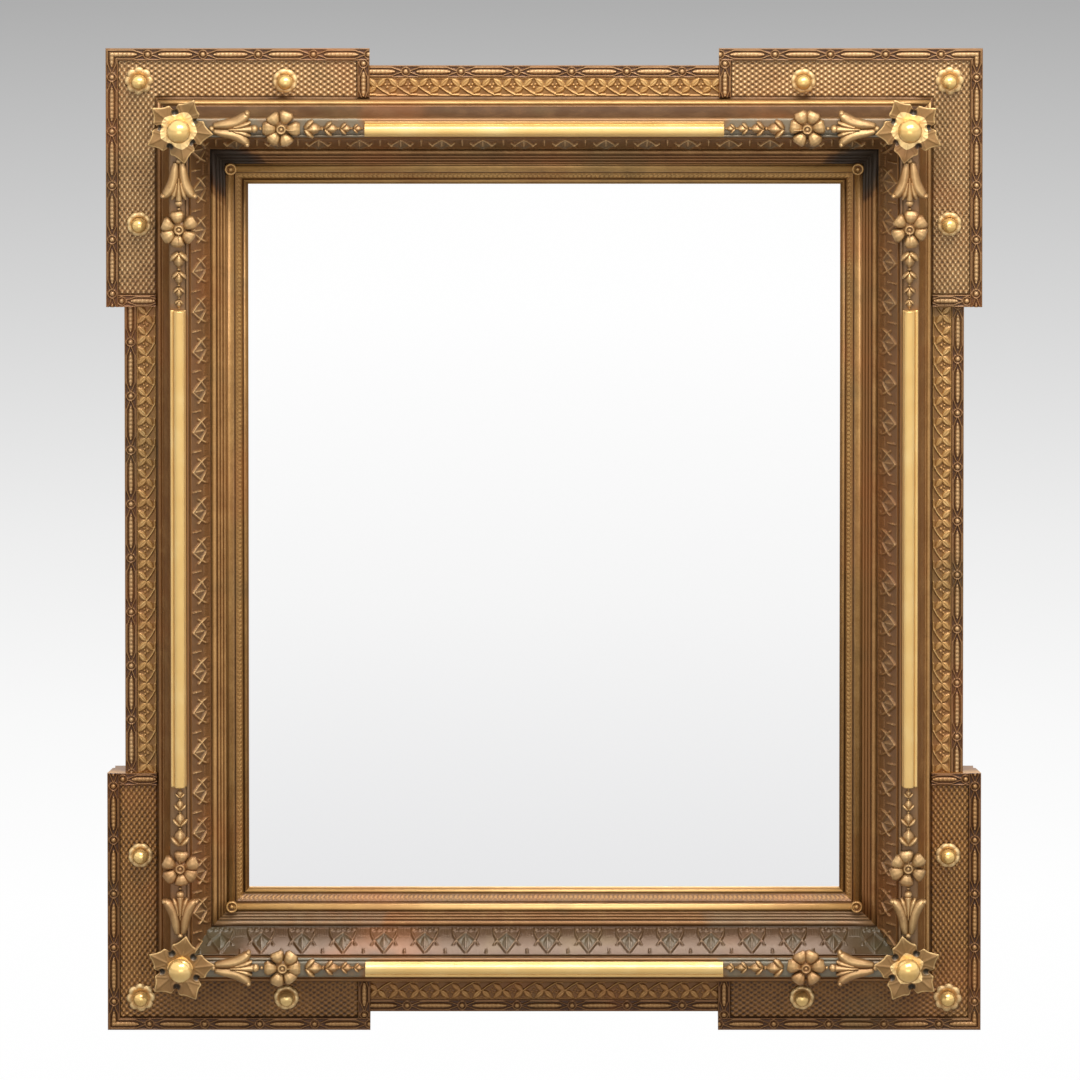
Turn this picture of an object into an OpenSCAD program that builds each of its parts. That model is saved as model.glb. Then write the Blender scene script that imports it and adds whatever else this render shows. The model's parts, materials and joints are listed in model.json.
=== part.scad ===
// Wall mirror in an eared picture frame with a deep moulding and laid-on ornament.
// Millimetres. X runs to the right, Z up and the front faces -Y. The wall is the plane Y = 0.
// The origin is the middle of the frame on the wall. A height is measured from the wall forwards.
// A distance called out is measured from the sight edge of the mirror towards the outside.

/* [Mirror plate] */
// Width of the mirror plate
plate_w = 633; // [500:1:900]
// Height of the mirror plate
plate_h = 767; // [600:1:1100]
// Thickness of the mirror plate
plate_t = 3; // [2:0.5:5]
// Play between the plate's edge and the side of its rebate
plate_play = 1; // [0.5:0.1:2]
// Bevel along the plate's back edge
plate_arris = 0.6; // [0.2:0.1:1]
// Air space between the plate and the backboards, filled by the blocks
block_t = 3; // [2:0.5:6]
// Length of one block behind the plate
block_len = 45; // [30:1:80]
// Blocks along each side of the plate
block_count = 3; // [2:1:5]

/* [Slip] */
// Width of the slip from the sight edge
slip_w = 23.2; // [21:0.1:30]
// Width of the rebate behind the slip's lip
rebate_w = 8.7; // [6:0.1:10]
// Thickness of the lip in front of the plate
lip_t = 3; // [2:0.1:5]
// Radius of the large bead on the slip
bead_r = 3.5; // [2.5:0.1:4]
// Distance out from the sight edge to the large bead's middle
bead_out = 18.2; // [17:0.1:19]
// Height of the slip's flat under the large bead
slip_h = 27.2; // [24:0.1:30]
// Radius of the sight bead
sight_bead_r = 1.6; // [1:0.1:2]
// Distance out from the sight edge to the sight bead's middle
sight_bead_out = 3.4; // [2:0.1:4]
// Radius of a turned button on the slip's corner
button_r = 6.5; // [5:0.1:8]
// Height of a turned button above its seat
button_h = 5.5; // [4:0.1:8]

/* [Deep moulding] */
// Width of the moulding, from the slip to the rails
moulding_w = 73; // [70:0.5:90]
// Height of the moulding's back face above the wall
moulding_back = 8; // [8:0.5:14]
// Height of the flat seat that carries the gilt rounds and the flowers
seat_h = 80; // [70:1:95]
// Distance out from the sight edge to the middle of that seat
seat_out = 71.8; // [68:0.1:74]
// Radius of a gilt round
round_r = 6; // [4:0.1:7]
// Straight side of a gilt round under its curve
round_step = 2; // [1:0.1:3]
// Width of the bright fillet outside the seat
top_fillet_w = 4; // [3:0.1:6]
// Radius of the small bead beside the rails
foot_bead_r = 2.1; // [1.5:0.1:3]
// Height of the small bead's middle
foot_bead_h = 47; // [39:0.1:50]
// Width of the groove between the rails and the small bead
quirk_w = 2; // [1:0.1:3]
// Depth of that groove below the rail's front
quirk_depth = 3; // [1:0.1:5]
// Hollow of the outer cove behind its chord
cove_sag = 3.6; // [2:0.1:5]
// Distance out from the sight edge to the top of the inner slope
slope_out = 62; // [57:0.1:62.5]
// Distance out from the sight edge to the foot of the inner slope
slope_foot_out = 39.6; // [38:0.1:43]
// Height of the moulding at the foot of the inner slope
foot_h = 26.8; // [24:0.1:30]
// Hollow of the inner slope behind its chord
slope_sag = 2; // [1:0.1:3]
// Radius of the bead on the slope's upper edge
crest_r = 1.5; // [1:0.1:2]
// Radius of the step bead at the foot of the slope
step_r = 2.4; // [1.5:0.1:3]
// Radius of a reed between the step bead and the slip
reed_r = 1.95; // [1.2:0.05:2]

/* [Rails and ears] */
// Width of a rail
rail_w = 33; // [28:0.5:40]
// Thickness of a rail
rail_t = 31.5; // [25:0.5:35]
// Width of an ear's leg
ear_w = 52; // [46:0.5:60]
// Thickness of an ear
ear_t = 36; // [33:0.5:38]
// Length of an ear's leg
ear_leg = 275; // [240:1:300]
// Width of the rebate along the back of the boards' outer edges
back_rebate_w = 8; // [4:0.5:12]
// Depth of that rebate from the wall
back_rebate_h = 11; // [6:0.5:16]

/* [Edging] */
// Width of the ribbon and spindle edging
edge_w = 12.8; // [11:0.1:15]
// Thickness of the edging's bed
edge_t = 1.2; // [0.8:0.1:2]
// Distance between two beads of the edging
edge_pitch = 57.6; // [50:0.1:70]
// From an ear's corner to the first bead, along the top and the bottom
edge_first_x = 43.7; // [30:0.1:50]
// From an ear's corner to the first bead, along the sides
edge_first_z = 30.6; // [25:0.1:45]
// Radius of a bead
edge_bead_r = 3.6; // [2.5:0.1:4.5]
// Length of a spindle
spindle_len = 42; // [30:0.5:46]
// Radius of a spindle at its middle
spindle_r = 2.7; // [2:0.1:3.5]
// Width of the flat lists along the edging's two sides
list_w = 1.4; // [1:0.1:2]
// Height of the lists above the bed
list_h = 1.2; // [0.5:0.1:2]

/* [Vine band] */
// Width of the vine band on a rail
vine_w = 19.6; // [15:0.1:20]
// Thickness of the vine band's bed
vine_t = 0.8; // [0.5:0.1:1.5]
// Distance along the rail between two stems
vine_pitch = 22.2; // [18:0.1:30]
// Radius of a stem
stem_r = 1.1; // [0.8:0.1:1.6]

/* [Slope band] */
// Thickness of the band on the inner slope
band_t = 1.2; // [0.8:0.1:2]
// Upper edge of the band, measured down the slope from its top
band_top = 3.5; // [3:0.1:8]
// Plain strip left between the band and the foot of the slope
band_foot = 3.5; // [2:0.1:8]
// Distance along the moulding between two lozenges
lozenge_pitch = 42.8; // [36:0.1:60]
// Width of a lozenge
lozenge_w = 28; // [24:0.5:36]
// Width of a lozenge's raised line
lozenge_line = 2.2; // [1.5:0.1:3]
// Height of the raised line above the band
lozenge_h = 1.1; // [0.5:0.1:2]

/* [Corner leaves] */
// Radius of a corner leaf at its tips
leaf_r = 36; // [30:0.5:40]
// Radius of a corner leaf at the notches
leaf_notch_r = 16.5; // [13.5:0.1:20]
// Points of a corner leaf
leaf_points = 5; // [5:1:7]
// Turn of a corner leaf, from the side towards the top
leaf_turn = 43; // [3:5:58]
// Thickness of a corner leaf
leaf_t = 2.4; // [1.6:0.1:4]
// Height of a corner leaf's middle above the seat
leaf_h = 7; // [5:0.1:10]
// Rise of the leaf's rim over its middle
leaf_cup = 3; // [0:0.1:5]
// Radius of the gilt ball on a corner leaf
ball_r = 12.8; // [10:0.1:14]
// Height of the ball's middle above the leaf
ball_rise = 7; // [3:0.1:9]
// Depth of the flat sunk into the leaf for the ball
ball_sink = 0.3; // [0.1:0.1:1]

/* [Flowers and husks] */
// How far the calyx's narrow end lies under the corner leaf's tip
calyx_tuck = 1; // [0:0.5:3]
// Length of a calyx
calyx_len = 48; // [40:0.5:52]
// Spread of a calyx's two leaves
calyx_spread = 17; // [12:0.5:20]
// Gap between the calyx, the flower and the first husk
drop_gap = 4.2; // [1:0.1:8]
// Radius of a flower
flower_r = 19.5; // [15:0.5:21]
// Petals of a flower
flower_petals = 6; // [5:1:7]
// Length of the first husk
husk_len = 21; // [15:0.5:24]
// Length of each next husk as a share of the one before
husk_ratio = 0.8; // [0.7:0.01:0.85]
// Husks in one drop
husk_count = 4; // [2:1:4]

/* [Ear studs] */
// From an ear's outer edge to the middle of a stud
stud_in = 34.5; // [28:0.5:38]
// From an ear's outer edge to the stud on its leg
stud_leg = 187; // [150:1:210]
// Radius of the corner stud's flower
stud_flower_r = 15; // [11:0.1:17]
// Radius of a leg stud's flower
stud_leg_r = 13; // [10:0.1:15]
// Petals of a stud's flower
stud_petals = 8; // [6:1:10]
// Thickness of a stud's flower
stud_flower_t = 3; // [2:0.1:4]
// Radius of a stud's gilt ball
stud_r = 8; // [6:0.1:9]

/* [Backboards and screws] */
// Thickness of a backboard
board_t = 6; // [4:0.5:7]
// Distance out from the sight edge to the backboards' edge
board_out = 42; // [36:1:48]
// Gap between two backboards
board_gap = 1; // [0.5:0.1:3]
// Radius of a screw's shank
screw_r = 1.75; // [1.5:0.05:2.5]
// Length of a screw
screw_len = 18; // [14:1:22]
// Radius of a screw's head
screw_head_r = 3.4; // [3:0.1:4]
// Play between a screw and its hole
screw_play = 0.15; // [0.05:0.05:0.4]
// Distance out from the sight edge to the backboard screws
screw_out = 33; // [30:1:36]
// Distance from a backboard's long edge to the screws at its ends
screw_inset = 16; // [12:1:30]

/* [Hangers] */
// Height of the hangers' axes above the middle of the frame
hanger_up = 230; // [100:1:300]
// Distance out from the sight edge to the hangers' middle
hanger_out = 69; // [62:1:76]
// Radius of a hanging ring's wire
ring_wire_r = 1.5; // [1.2:0.1:1.8]
// Inner half width of a hanging ring
ring_half_w = 9; // [8:0.5:11]
// Straight side of a hanging ring
ring_side = 3; // [2:0.5:6]
// Width of a hanger's strap
strap_w = 11; // [8:0.5:12]
// Length of a hanger's strap below its axis
strap_len = 46; // [40:1:70]
// Thickness of a hanger's strap
strap_t = 1.1; // [0.8:0.1:1.3]
// Running play between the ring and its loop
ring_play = 0.3; // [0.2:0.05:0.5]

/* [Hidden] */
$fn = 48;

// Sides are counted from the bottom: 0 bottom, 1 right, 2 top, 3 left.
BOTTOM = 0;
RIGHT = 1;
TOP = 2;
LEFT = 3;

// The opening that shows the mirror
sight_w = plate_w + 2 * plate_play - 2 * rebate_w;
sight_h = plate_h + 2 * plate_play - 2 * rebate_w;

// Distances out from the sight edge
rail_out = slip_w + moulding_w;
rail_edge_out = rail_out + rail_w;
ear_edge_out = rail_out + ear_w;

// Half the frame over the ears
half_w = sight_w / 2 + ear_edge_out;
half_h = sight_h / 2 + ear_edge_out;

// Heights from the wall
board_back = moulding_back - board_t;
plate_back = moulding_back + block_t;
plate_front = plate_back + plate_t;
lip_front = plate_front + lip_t;
quirk_floor = rail_t - quirk_depth;
fillet_drop = 2;
round_centre_h = seat_h + round_step;
leaf_base = seat_h + leaf_h;
leaf_top = leaf_base + leaf_t - ball_sink;
loop_gap_r = ring_wire_r + ring_play;
axis_h = moulding_back - loop_gap_r - strap_t;
strap_screws = [0.5, 0.85];

// Outer cove, from the small bead up to the bright fillet
seat_half = round_r + 0.1;
cove_top_out = seat_out + seat_half + top_fillet_w;
cove_foot_out = rail_out - quirk_w - 2 * foot_bead_r;
cove_foot = [cove_foot_out, foot_bead_h];
cove_top = [cove_top_out, seat_h - fillet_drop];

// Inner slope, from the step bead up to the crest
slope_foot = [slope_foot_out, foot_h];
slope_top = [slope_out, seat_h - 2 * crest_r];
slope_run = norm(slope_top - slope_foot);
band_w = slope_run - band_top - band_foot;
slope_lean = atan2(slope_top.y - slope_foot.y, slope_top.x - slope_foot.x);

// Middle of the mouldings' seats and of the slip's bead, where the corner pieces stand
seat_x = sight_w / 2 + seat_out;
seat_z = sight_h / 2 + seat_out;
button_x = sight_w / 2 + bead_out;
button_z = sight_h / 2 + bead_out;
button_seat_h = slip_h;

// Width of one of the three backboards
board_w = (sight_w + 2 * board_out - 2 * board_gap) / 3;

// Radius of a corner ball's flat foot on its leaf
ball_foot_r = sqrt(ball_r * ball_r - ball_rise * ball_rise);

// Drop of ornament on each side of a corner, measured from the corner ball's middle
calyx_at = leaf_r - calyx_tuck;
flower_at = calyx_at + calyx_len + drop_gap + flower_r;
husk_at = flower_at + flower_r + drop_gap;
husk_end = husk_at + husk_len * (1 - pow(husk_ratio, husk_count)) / (1 - husk_ratio);
round_gap = 1;
reach = 400;

// Bare wood between the vine band and the moulding
vine_margin = 0.4;

// Geometry helpers

function side_length(k) = k % 2 == 0 ? sight_w : sight_h;
function side_half(k) = k % 2 == 0 ? sight_h / 2 : sight_w / 2;

// Radius of the arc over the chord p to q that stands sag away from it
function arc_r(p, q, sag) = (pow(norm(q - p), 2) / 4 + sag * sag) / (2 * sag);

// Middle of that arc's circle, to the left of the way from p to q
function arc_middle(p, q, sag) =
  let (along = (q - p) / norm(q - p), left = [-along.y, along.x])
  (p + q) / 2 + left * (arc_r(p, q, sag) - sag);

// Turns what is drawn for the bottom side to side k
module on_side(k) rotate([0, -90 * k, 0]) children();

// Draws a sketch in X and Z and raises it from the height h towards the front
module on_wall(h) translate([0, -h, 0]) rotate([90, 0, 0]) children();

// Carries what is drawn for the top right corner to the corner with the signs sx and sz
module in_corner(sx, sz) {
  if (sx < 0 && sz < 0) rotate([0, 180, 0]) children();
  else if (sx < 0) mirror([1, 0, 0]) children();
  else if (sz < 0) mirror([0, 0, 1]) children();
  else children();
}

module every_corner() {
  for (sx = [-1, 1], sz = [-1, 1]) in_corner(sx, sz) children();
}

// A section with distance out as x and height as y, run along side k and mitred at both ends
module mitred(k) {
  from = 6;
  l = side_length(k) / 2;
  h = side_half(k);
  on_side(k) intersection() {
    translate([0, 0, -h]) rotate([180, 90, 0])
      linear_extrude(2 * (l + reach), center = true) children();
    on_wall(-1) linear_extrude(seat_h + 40)
      polygon([[from - l, from - h], [l - from, from - h], [l + reach, -h - reach], [-l - reach, -h - reach]]);
  }
}

module circle_at(p, r) translate(p) circle(r);

// Hollow between the chord p to q and its arc, on the left of the way from p to q
module hollow(p, q, sag) {
  intersection() {
    circle_at(arc_middle(p, q, sag), arc_r(p, q, sag));
    translate([min(p.x, q.x) - 2 * sag, min(p.y, q.y)]) square([abs(q.x - p.x) + 4 * sag, abs(q.y - p.y)]);
  }
}

// Screws and their holes

module screw() {
  head_t = screw_head_r - screw_r;
  slot_w = 0.8;
  slot_depth = 0.9;
  difference() {
    union() {
      cylinder(head_t, screw_head_r, screw_r);
      translate([0, 0, head_t]) cylinder(screw_len - head_t - 2 * screw_r, screw_r, screw_r);
      translate([0, 0, screw_len - 2 * screw_r]) cylinder(2 * screw_r, screw_r, 0.4);
    }
    translate([-screw_head_r, -slot_w / 2, -slot_depth]) cube([2 * screw_head_r, slot_w, 2 * slot_depth]);
  }
}

module screw_hole() {
  head_t = screw_head_r - screw_r;
  r = screw_r + screw_play;
  translate([0, 0, -screw_play]) cylinder(head_t, screw_head_r + screw_play, r);
  cylinder(screw_len + 1, r, r);
}

// Two screws hold each end of a backboard, and two more its outer edge
module at_board_screws() {
  z = sight_h / 2 + screw_out;
  for (sx = [-1, 1], sz = [-1, 1]) {
    for (x = [board_w / 2 - screw_inset, board_w / 2 + board_gap + screw_inset, 1.5 * board_w - screw_inset])
      translate([sx * x, -board_back, sz * z]) children();
    translate([sx * (sight_w / 2 + screw_out), -board_back, sz * z / 3]) children();
  }
}

module at_hanger(s) {
  translate([s * (sight_w / 2 + hanger_out), -axis_h, hanger_up]) children();
}

module at_hanger_screws() {
  for (s = [-1, 1], d = strap_screws)
    at_hanger(s) translate([0, axis_h - moulding_back + strap_t, -strap_len * d]) children();
}

// Points a screw that is drawn along +Z into the frame, towards the front
module into_frame() rotate([90, 0, 0]) children();

// Wooden members

// An ear's outline with its two outer edges drawn in by inset
module ear_outline(inset) {
  difference() {
    translate([half_w - ear_leg, half_h - ear_leg]) square(ear_leg - inset);
    translate([half_w - ear_leg - 1, half_h - ear_leg - 1]) square(ear_leg - ear_w + 1);
  }
}

module ear() {
  on_wall(0) linear_extrude(ear_t / 2) ear_outline(back_rebate_w);
  on_wall(back_rebate_h) linear_extrude(ear_t - back_rebate_h) ear_outline(0);
}

module rail(k) {
  clear = side_length(k) / 2 + ear_edge_out - ear_leg;
  on_side(k) translate([-clear, 0, -side_half(k) - rail_edge_out]) {
    translate([0, -rail_t, 0]) cube([2 * clear, rail_t - back_rebate_h, rail_w]);
    translate([0, -rail_t, back_rebate_w]) cube([2 * clear, rail_t, rail_w - back_rebate_w]);
  }
}

module moulding_section() {
  step_out = slope_foot_out - step_r - 0.8;
  difference() {
    union() {
      polygon([
        [slip_w, moulding_back],
        [rail_out, moulding_back],
        [rail_out, quirk_floor],
        [rail_out - quirk_w, quirk_floor],
        [rail_out - quirk_w, foot_bead_h],
        cove_foot,
        cove_top,
        [cove_top_out, seat_h],
        [seat_out - seat_half, seat_h],
        [seat_out - seat_half, seat_h - crest_r],
        [slope_out + crest_r, seat_h - crest_r],
        slope_top,
        slope_foot,
        [slip_w, foot_h]
      ]);
      circle_at([cove_foot_out + foot_bead_r, foot_bead_h], foot_bead_r);
      circle_at([slope_out + crest_r, seat_h - crest_r], crest_r);
      circle_at([step_out, foot_h], step_r);
      for (i = [1, 2]) circle_at([step_out - step_r - 0.3 + reed_r - 2.1 * reed_r * i, foot_h], reed_r);
      circle_at([slip_w + 0.6 * reed_r, foot_h], 0.6 * reed_r);
    }
    hollow(cove_top, cove_foot, cove_sag);
    hollow(slope_foot, slope_top, slope_sag);
  }
}

module button_seats() {
  for (sx = [-1, 1], sz = [-1, 1])
    translate([sx * button_x, 0, sz * button_z]) on_wall(button_seat_h)
      cylinder(3 * button_h, button_r + 0.1, button_r + 0.1);
}

module moulding(k) {
  difference() {
    mitred(k) moulding_section();
    button_seats();
    at_board_screws() into_frame() screw_hole();
    if (k % 2 == 1) at_hanger_screws() into_frame() screw_hole();
  }
}

module slip_section() {
  union() {
    polygon([
      [rebate_w, moulding_back],
      [slip_w, moulding_back],
      [slip_w, slip_h - 1],
      [bead_out + bead_r, slip_h - 1],
      [bead_out + bead_r, slip_h],
      [bead_out - bead_r, slip_h],
      [bead_out - bead_r, slip_h - 2.2],
      [sight_bead_out + sight_bead_r, lip_front + 1],
      [sight_bead_out + sight_bead_r, lip_front],
      [0, lip_front],
      [0, plate_front],
      [rebate_w, plate_front]
    ]);
    circle_at([bead_out, slip_h], bead_r);
    circle_at([sight_bead_out, lip_front], sight_bead_r);
  }
}

module slip(k) {
  difference() {
    mitred(k) slip_section();
    button_seats();
  }
}

// Gilt rounds and laid-on bands

module gilt_round(k) {
  clear = side_length(k) / 2 + seat_out - husk_end - round_gap;
  on_side(k) translate([0, 0, -side_half(k) - seat_out]) rotate([180, 90, 0])
    linear_extrude(2 * clear, center = true) {
      translate([-round_r, seat_h]) square([2 * round_r, round_step]);
      intersection() {
        circle_at([0, round_centre_h], round_r);
        translate([-round_r, round_centre_h]) square([2 * round_r, round_r]);
      }
    }
}

// A leaf outline of the length len and the width w, lying along X from the origin
module leaf(len, w) {
  steps = 5;
  half = [for (i = [0:steps]) [len * i / steps, w / 2 * sin(180 * i / steps)]];
  polygon(concat(half, [for (i = [steps - 1:-1:1]) [half[i].x, -half[i].y]]));
}

// A bead of the edging: the cap of a sphere
module edging_bead() {
  sink = edge_bead_r * 0.4;
  intersection() {
    translate([0, 0, -sink]) sphere(norm([edge_bead_r, sink]));
    cylinder(2 * edge_bead_r, 2 * edge_bead_r, 2 * edge_bead_r);
  }
}

// A strip of edging along X from x0 to x1 and w wide, with its beads counted from first
module edging_strip(x0, x1, first, w) {
  from = ceil((x0 - first + edge_bead_r) / edge_pitch);
  to = floor((x1 - first - edge_bead_r) / edge_pitch);
  translate([x0, 0, 0]) cube([x1 - x0, w, edge_t]);
  for (y = [0, w - list_w]) translate([x0, y, edge_t / 2]) cube([x1 - x0, list_w, edge_t / 2 + list_h]);
  translate([first, w / 2, edge_t]) for (i = [from:to]) translate([edge_pitch * i, 0, 0]) edging_bead();
  intersection() {
    translate([x0, w / 2, edge_t / 2]) rotate([0, 90, 0]) cylinder(x1 - x0, spindle_r, spindle_r);
    translate([0, w / 2, edge_t / 2 + 0.1]) linear_extrude(2 * spindle_r)
      for (i = [from - 1:to]) translate([first + edge_pitch * (i + 0.5) - spindle_len / 2, 0])
        leaf(spindle_len, 2.4 * spindle_r);
  }
}

// The edging of the top right ear: along both outer edges and round the two leg ends
module ear_edging() {
  corner_x = half_w;
  corner_z = half_h;
  on_wall(ear_t) {
    intersection() {
      translate([corner_x, corner_z]) rotate(180) edging_strip(0, ear_leg, edge_first_x, edge_w);
      linear_extrude(2 * edge_w)
        polygon([[corner_x, corner_z], [corner_x - ear_leg, corner_z], [corner_x - ear_leg, corner_z - ear_leg]]);
    }
    intersection() {
      translate([corner_x, corner_z]) rotate(-90) mirror([0, 1, 0])
        edging_strip(0, ear_leg, edge_first_z, edge_w);
      linear_extrude(2 * edge_w)
        polygon([[corner_x, corner_z], [corner_x, corner_z - ear_leg], [corner_x - ear_leg, corner_z - ear_leg]]);
    }
    translate([corner_x - ear_leg, corner_z - edge_w]) rotate(-90)
      edging_strip(0, ear_w - edge_w, -edge_pitch * 0.32, edge_w);
    translate([corner_x - edge_w, corner_z - ear_leg]) rotate(180) mirror([0, 1, 0])
      edging_strip(0, ear_w - edge_w, -edge_pitch * 0.32, edge_w);
  }
}

module rail_edging(k) {
  clear = side_length(k) / 2 + ear_edge_out - ear_leg;
  on_side(k) translate([0, 0, -side_half(k) - rail_edge_out]) on_wall(rail_t)
    edging_strip(-clear, clear, -clear - edge_pitch / 3, edge_w);
}

// The vine band: slanting stems, each with a pair of leaves at its outer end and one at its foot
module vine_band(k) {
  clear = side_length(k) / 2 + ear_edge_out - ear_leg;
  count = floor((2 * clear - vine_w) / vine_pitch);
  stem_len = vine_w * 0.8;
  on_side(k) translate([0, 0, -side_half(k) - rail_out - vine_w - vine_margin]) on_wall(rail_t) {
    translate([-clear, 0, 0]) cube([2 * clear, vine_w, vine_t]);
    translate([0, 0, vine_t / 2]) linear_extrude(vine_t / 2 + stem_r)
      for (i = [0:count]) translate([(i - count / 2) * vine_pitch + vine_w * 0.19, vine_w * 0.92]) {
        rotate(-130) translate([0, -stem_r / 2]) square([stem_len, stem_r]);
        rotate(-130) translate([stem_len * 0.5, 0]) leaf(stem_len * 0.72, vine_w * 0.2);
        translate([-vine_w * 0.3, -vine_w * 0.36]) rotate(-52) leaf(stem_len * 0.62, vine_w * 0.2);
        translate([vine_w * 0.06, -vine_w * 0.3]) rotate(-62) leaf(stem_len * 0.55, vine_w * 0.18);
      }
  }
}

// The band on the inner slope: a thin bed with a row of lozenges in raised line
module slope_band(k) {
  n = floor((side_length(k) / 2 + slope_foot_out - lozenge_w / 2) / lozenge_pitch);
  half = band_w * 0.44;
  mitred(k) band_section(0, band_t);
  intersection() {
    mitred(k) band_section(band_t / 2, band_t + lozenge_h);
    on_side(k) translate([0, -slope_foot.y, -side_half(k) - slope_foot.x]) rotate([90 - slope_lean, 0, 0])
      translate([0, band_top + band_w / 2 - slope_run, -2 * slope_sag])
        linear_extrude(4 * slope_sag + 4 * band_t)
          for (i = [-n:n]) translate([i * lozenge_pitch, 0]) lozenge(lozenge_w / 2, half, lozenge_line);
  }
}

// Section of the band between the depths from and to over the slope's hollow
module band_section(from, to) {
  middle = arc_middle(slope_foot, slope_top, slope_sag);
  r = arc_r(slope_foot, slope_top, slope_sag);
  intersection() {
    difference() {
      circle_at(middle, r - from);
      circle_at(middle, r - to);
    }
    translate(slope_foot) rotate(slope_lean) translate([slope_run - band_top - band_w, -2 * slope_sag])
      square([band_w, 5 * slope_sag + to]);
  }
}

// A lozenge in line: half its width is a, half its height is b, and its line is w wide
module lozenge(a, b, w) {
  inset = w / sin(atan2(b, a));
  rise = inset * b / a;
  polygon(
    [[-a, 0], [0, b], [a, 0], [0, -b], [inset - a, 0], [0, b - rise], [a - inset, 0], [0, rise - b]],
    [[0, 1, 2, 3], [4, 5, 6, 7]]
  );
}

// Ornament on the seat

// Outline of a corner leaf: pointed lobes with a tooth on each side, parted by notches
module leaf_outline() {
  steps = 12;
  polygon([
    for (i = [0:leaf_points * steps - 1])
      let (
        part = i / steps,
        off = abs(part - round(part)) * 2,
        share = lookup(off, [[0, 1], [0.17, 0.76], [0.34, 0.6], [0.67, 0.5], [0.84, 0.38], [1, 0]]),
        r = leaf_notch_r + (leaf_r - leaf_notch_r) * share
      )
      r * [cos(360 * part / leaf_points), sin(360 * part / leaf_points)]
  ]);
}

module corner_leaf() {
  rise = (leaf_r * leaf_r + leaf_cup * leaf_cup) / (2 * max(leaf_cup, 0.1));
  translate([seat_x, 0, seat_z]) on_wall(seat_h) {
    intersection() {
      rotate(leaf_turn) linear_extrude(leaf_h + leaf_cup + 2 * leaf_t) leaf_outline();
      difference() {
        translate([0, 0, leaf_h + rise]) sphere(rise);
        translate([0, 0, leaf_h + leaf_t + rise]) sphere(rise);
        translate([0, 0, leaf_h + leaf_t - ball_sink]) cylinder(leaf_t, ball_foot_r + 0.2, ball_foot_r + 0.2);
      }
    }
    cylinder(leaf_h + leaf_t / 2, round_r, round_r);
  }
}

module corner_ball() {
  translate([seat_x, 0, seat_z]) on_wall(leaf_top) intersection() {
    translate([0, 0, ball_rise]) sphere(ball_r);
    cylinder(3 * ball_r, 2 * ball_r, 2 * ball_r);
  }
}

// Two drops of ornament start from every corner: one along the top or bottom, one along a side.
// They are drawn along X from the middle of the corner ball.
module at_drops() {
  every_corner() {
    translate([seat_x, 0, seat_z]) on_wall(seat_h) rotate(180) children();
    translate([seat_x, 0, seat_z]) on_wall(seat_h) rotate(-90) children();
  }
}

// A piece pressed in a mould: its face is the grid of points top, and its back lies flat on the seat
module pressed(top) {
  rows = len(top);
  cols = len(top[0]);
  back = rows * cols;
  function at(i, j) = i * cols + j;
  points = concat(
    [for (row = top, p = row) p],
    [for (row = top, p = row) [p.x, p.y, 0]]
  );
  face = [for (i = [0:rows - 2], j = [0:cols - 2], half = [0, 1])
    half == 0 ? [at(i, j), at(i, j + 1), at(i + 1, j + 1)] : [at(i, j), at(i + 1, j + 1), at(i + 1, j)]];
  rim = concat(
    [for (j = [0:cols - 1]) at(0, j)],
    [for (i = [1:rows - 1]) at(i, cols - 1)],
    [for (j = [cols - 2:-1:0]) at(rows - 1, j)],
    [for (i = [rows - 2:-1:1]) at(i, 0)]
  );
  wall = [for (i = [0:len(rim) - 1], half = [0, 1])
    let (a = rim[i], b = rim[(i + 1) % len(rim)])
    half == 0 ? [b, a, a + back] : [b, a + back, b + back]];
  polyhedron(points, concat(face, [for (f = face) [f[2] + back, f[1] + back, f[0] + back]], wall));
}

// The calyx opens from a narrow foot into two leaves that curl outwards and a bud between them
module calyx() {
  rows = 7;
  cols = 9;
  translate([calyx_at, 0, 0]) pressed([
    for (i = [0:rows])
      let (t = i / rows, half = 2.6 + 5 * sin(90 * t) + (calyx_spread - 7.6) * pow(t, 3))
      [
        for (j = [0:cols - 1])
          let (s = 2 * j / (cols - 1) - 1, ridge = 0.7 + 0.3 * cos(540 * s))
          [
            calyx_len * t * (1 - 0.22 * t * sin(180 * abs(s)) + 0.02 * t * cos(180 * s)),
            -half * s,
            1.2 + (5 + 3 * sin(180 * t)) * ridge * (1 - pow(s, 4))
          ]
      ]
  ]);
}

// The flower is a disc of pointed petals round a raised ring, with a flat back
module flower() {
  around = 5 * flower_petals;
  share = [0.16, 0.24, 0.6, 0.85, 1];
  rise = [9.5, 6.5, 9, 7, 2.5];
  rings = len(share);
  function petal_r(a) = flower_r * (0.62 + 0.38 * pow(abs(cos(a * flower_petals / 2)), 0.7));
  function ridge(i, a) = i < 2 ? 1 : 0.55 + 0.45 * pow(abs(cos(a * flower_petals / 2)), 0.6);
  function at(i, j) = 1 + i * around + j % around;
  points = concat(
    [[0, 0, 8]],
    [for (i = [0:rings - 1], j = [0:around - 1])
      let (a = 360 * j / around, r = petal_r(a) * share[i])
      [r * cos(a), r * sin(a), rise[i] * ridge(i, a)]],
    [for (j = [0:around - 1]) let (a = 360 * j / around) [petal_r(a) * cos(a), petal_r(a) * sin(a), 0]],
    [[0, 0, 0]]
  );
  under = 1 + (rings + 1) * around;
  translate([flower_at, 0, 0]) polyhedron(points, [
    for (j = [0:around - 1]) each concat(
      [[0, at(0, j + 1), at(0, j)], [under, at(rings, j), at(rings, j + 1)]],
      [for (i = [0:rings - 1]) each [
        [at(i, j), at(i, j + 1), at(i + 1, j + 1)],
        [at(i, j), at(i + 1, j + 1), at(i + 1, j)]
      ]]
    )
  ]);
}

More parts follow.
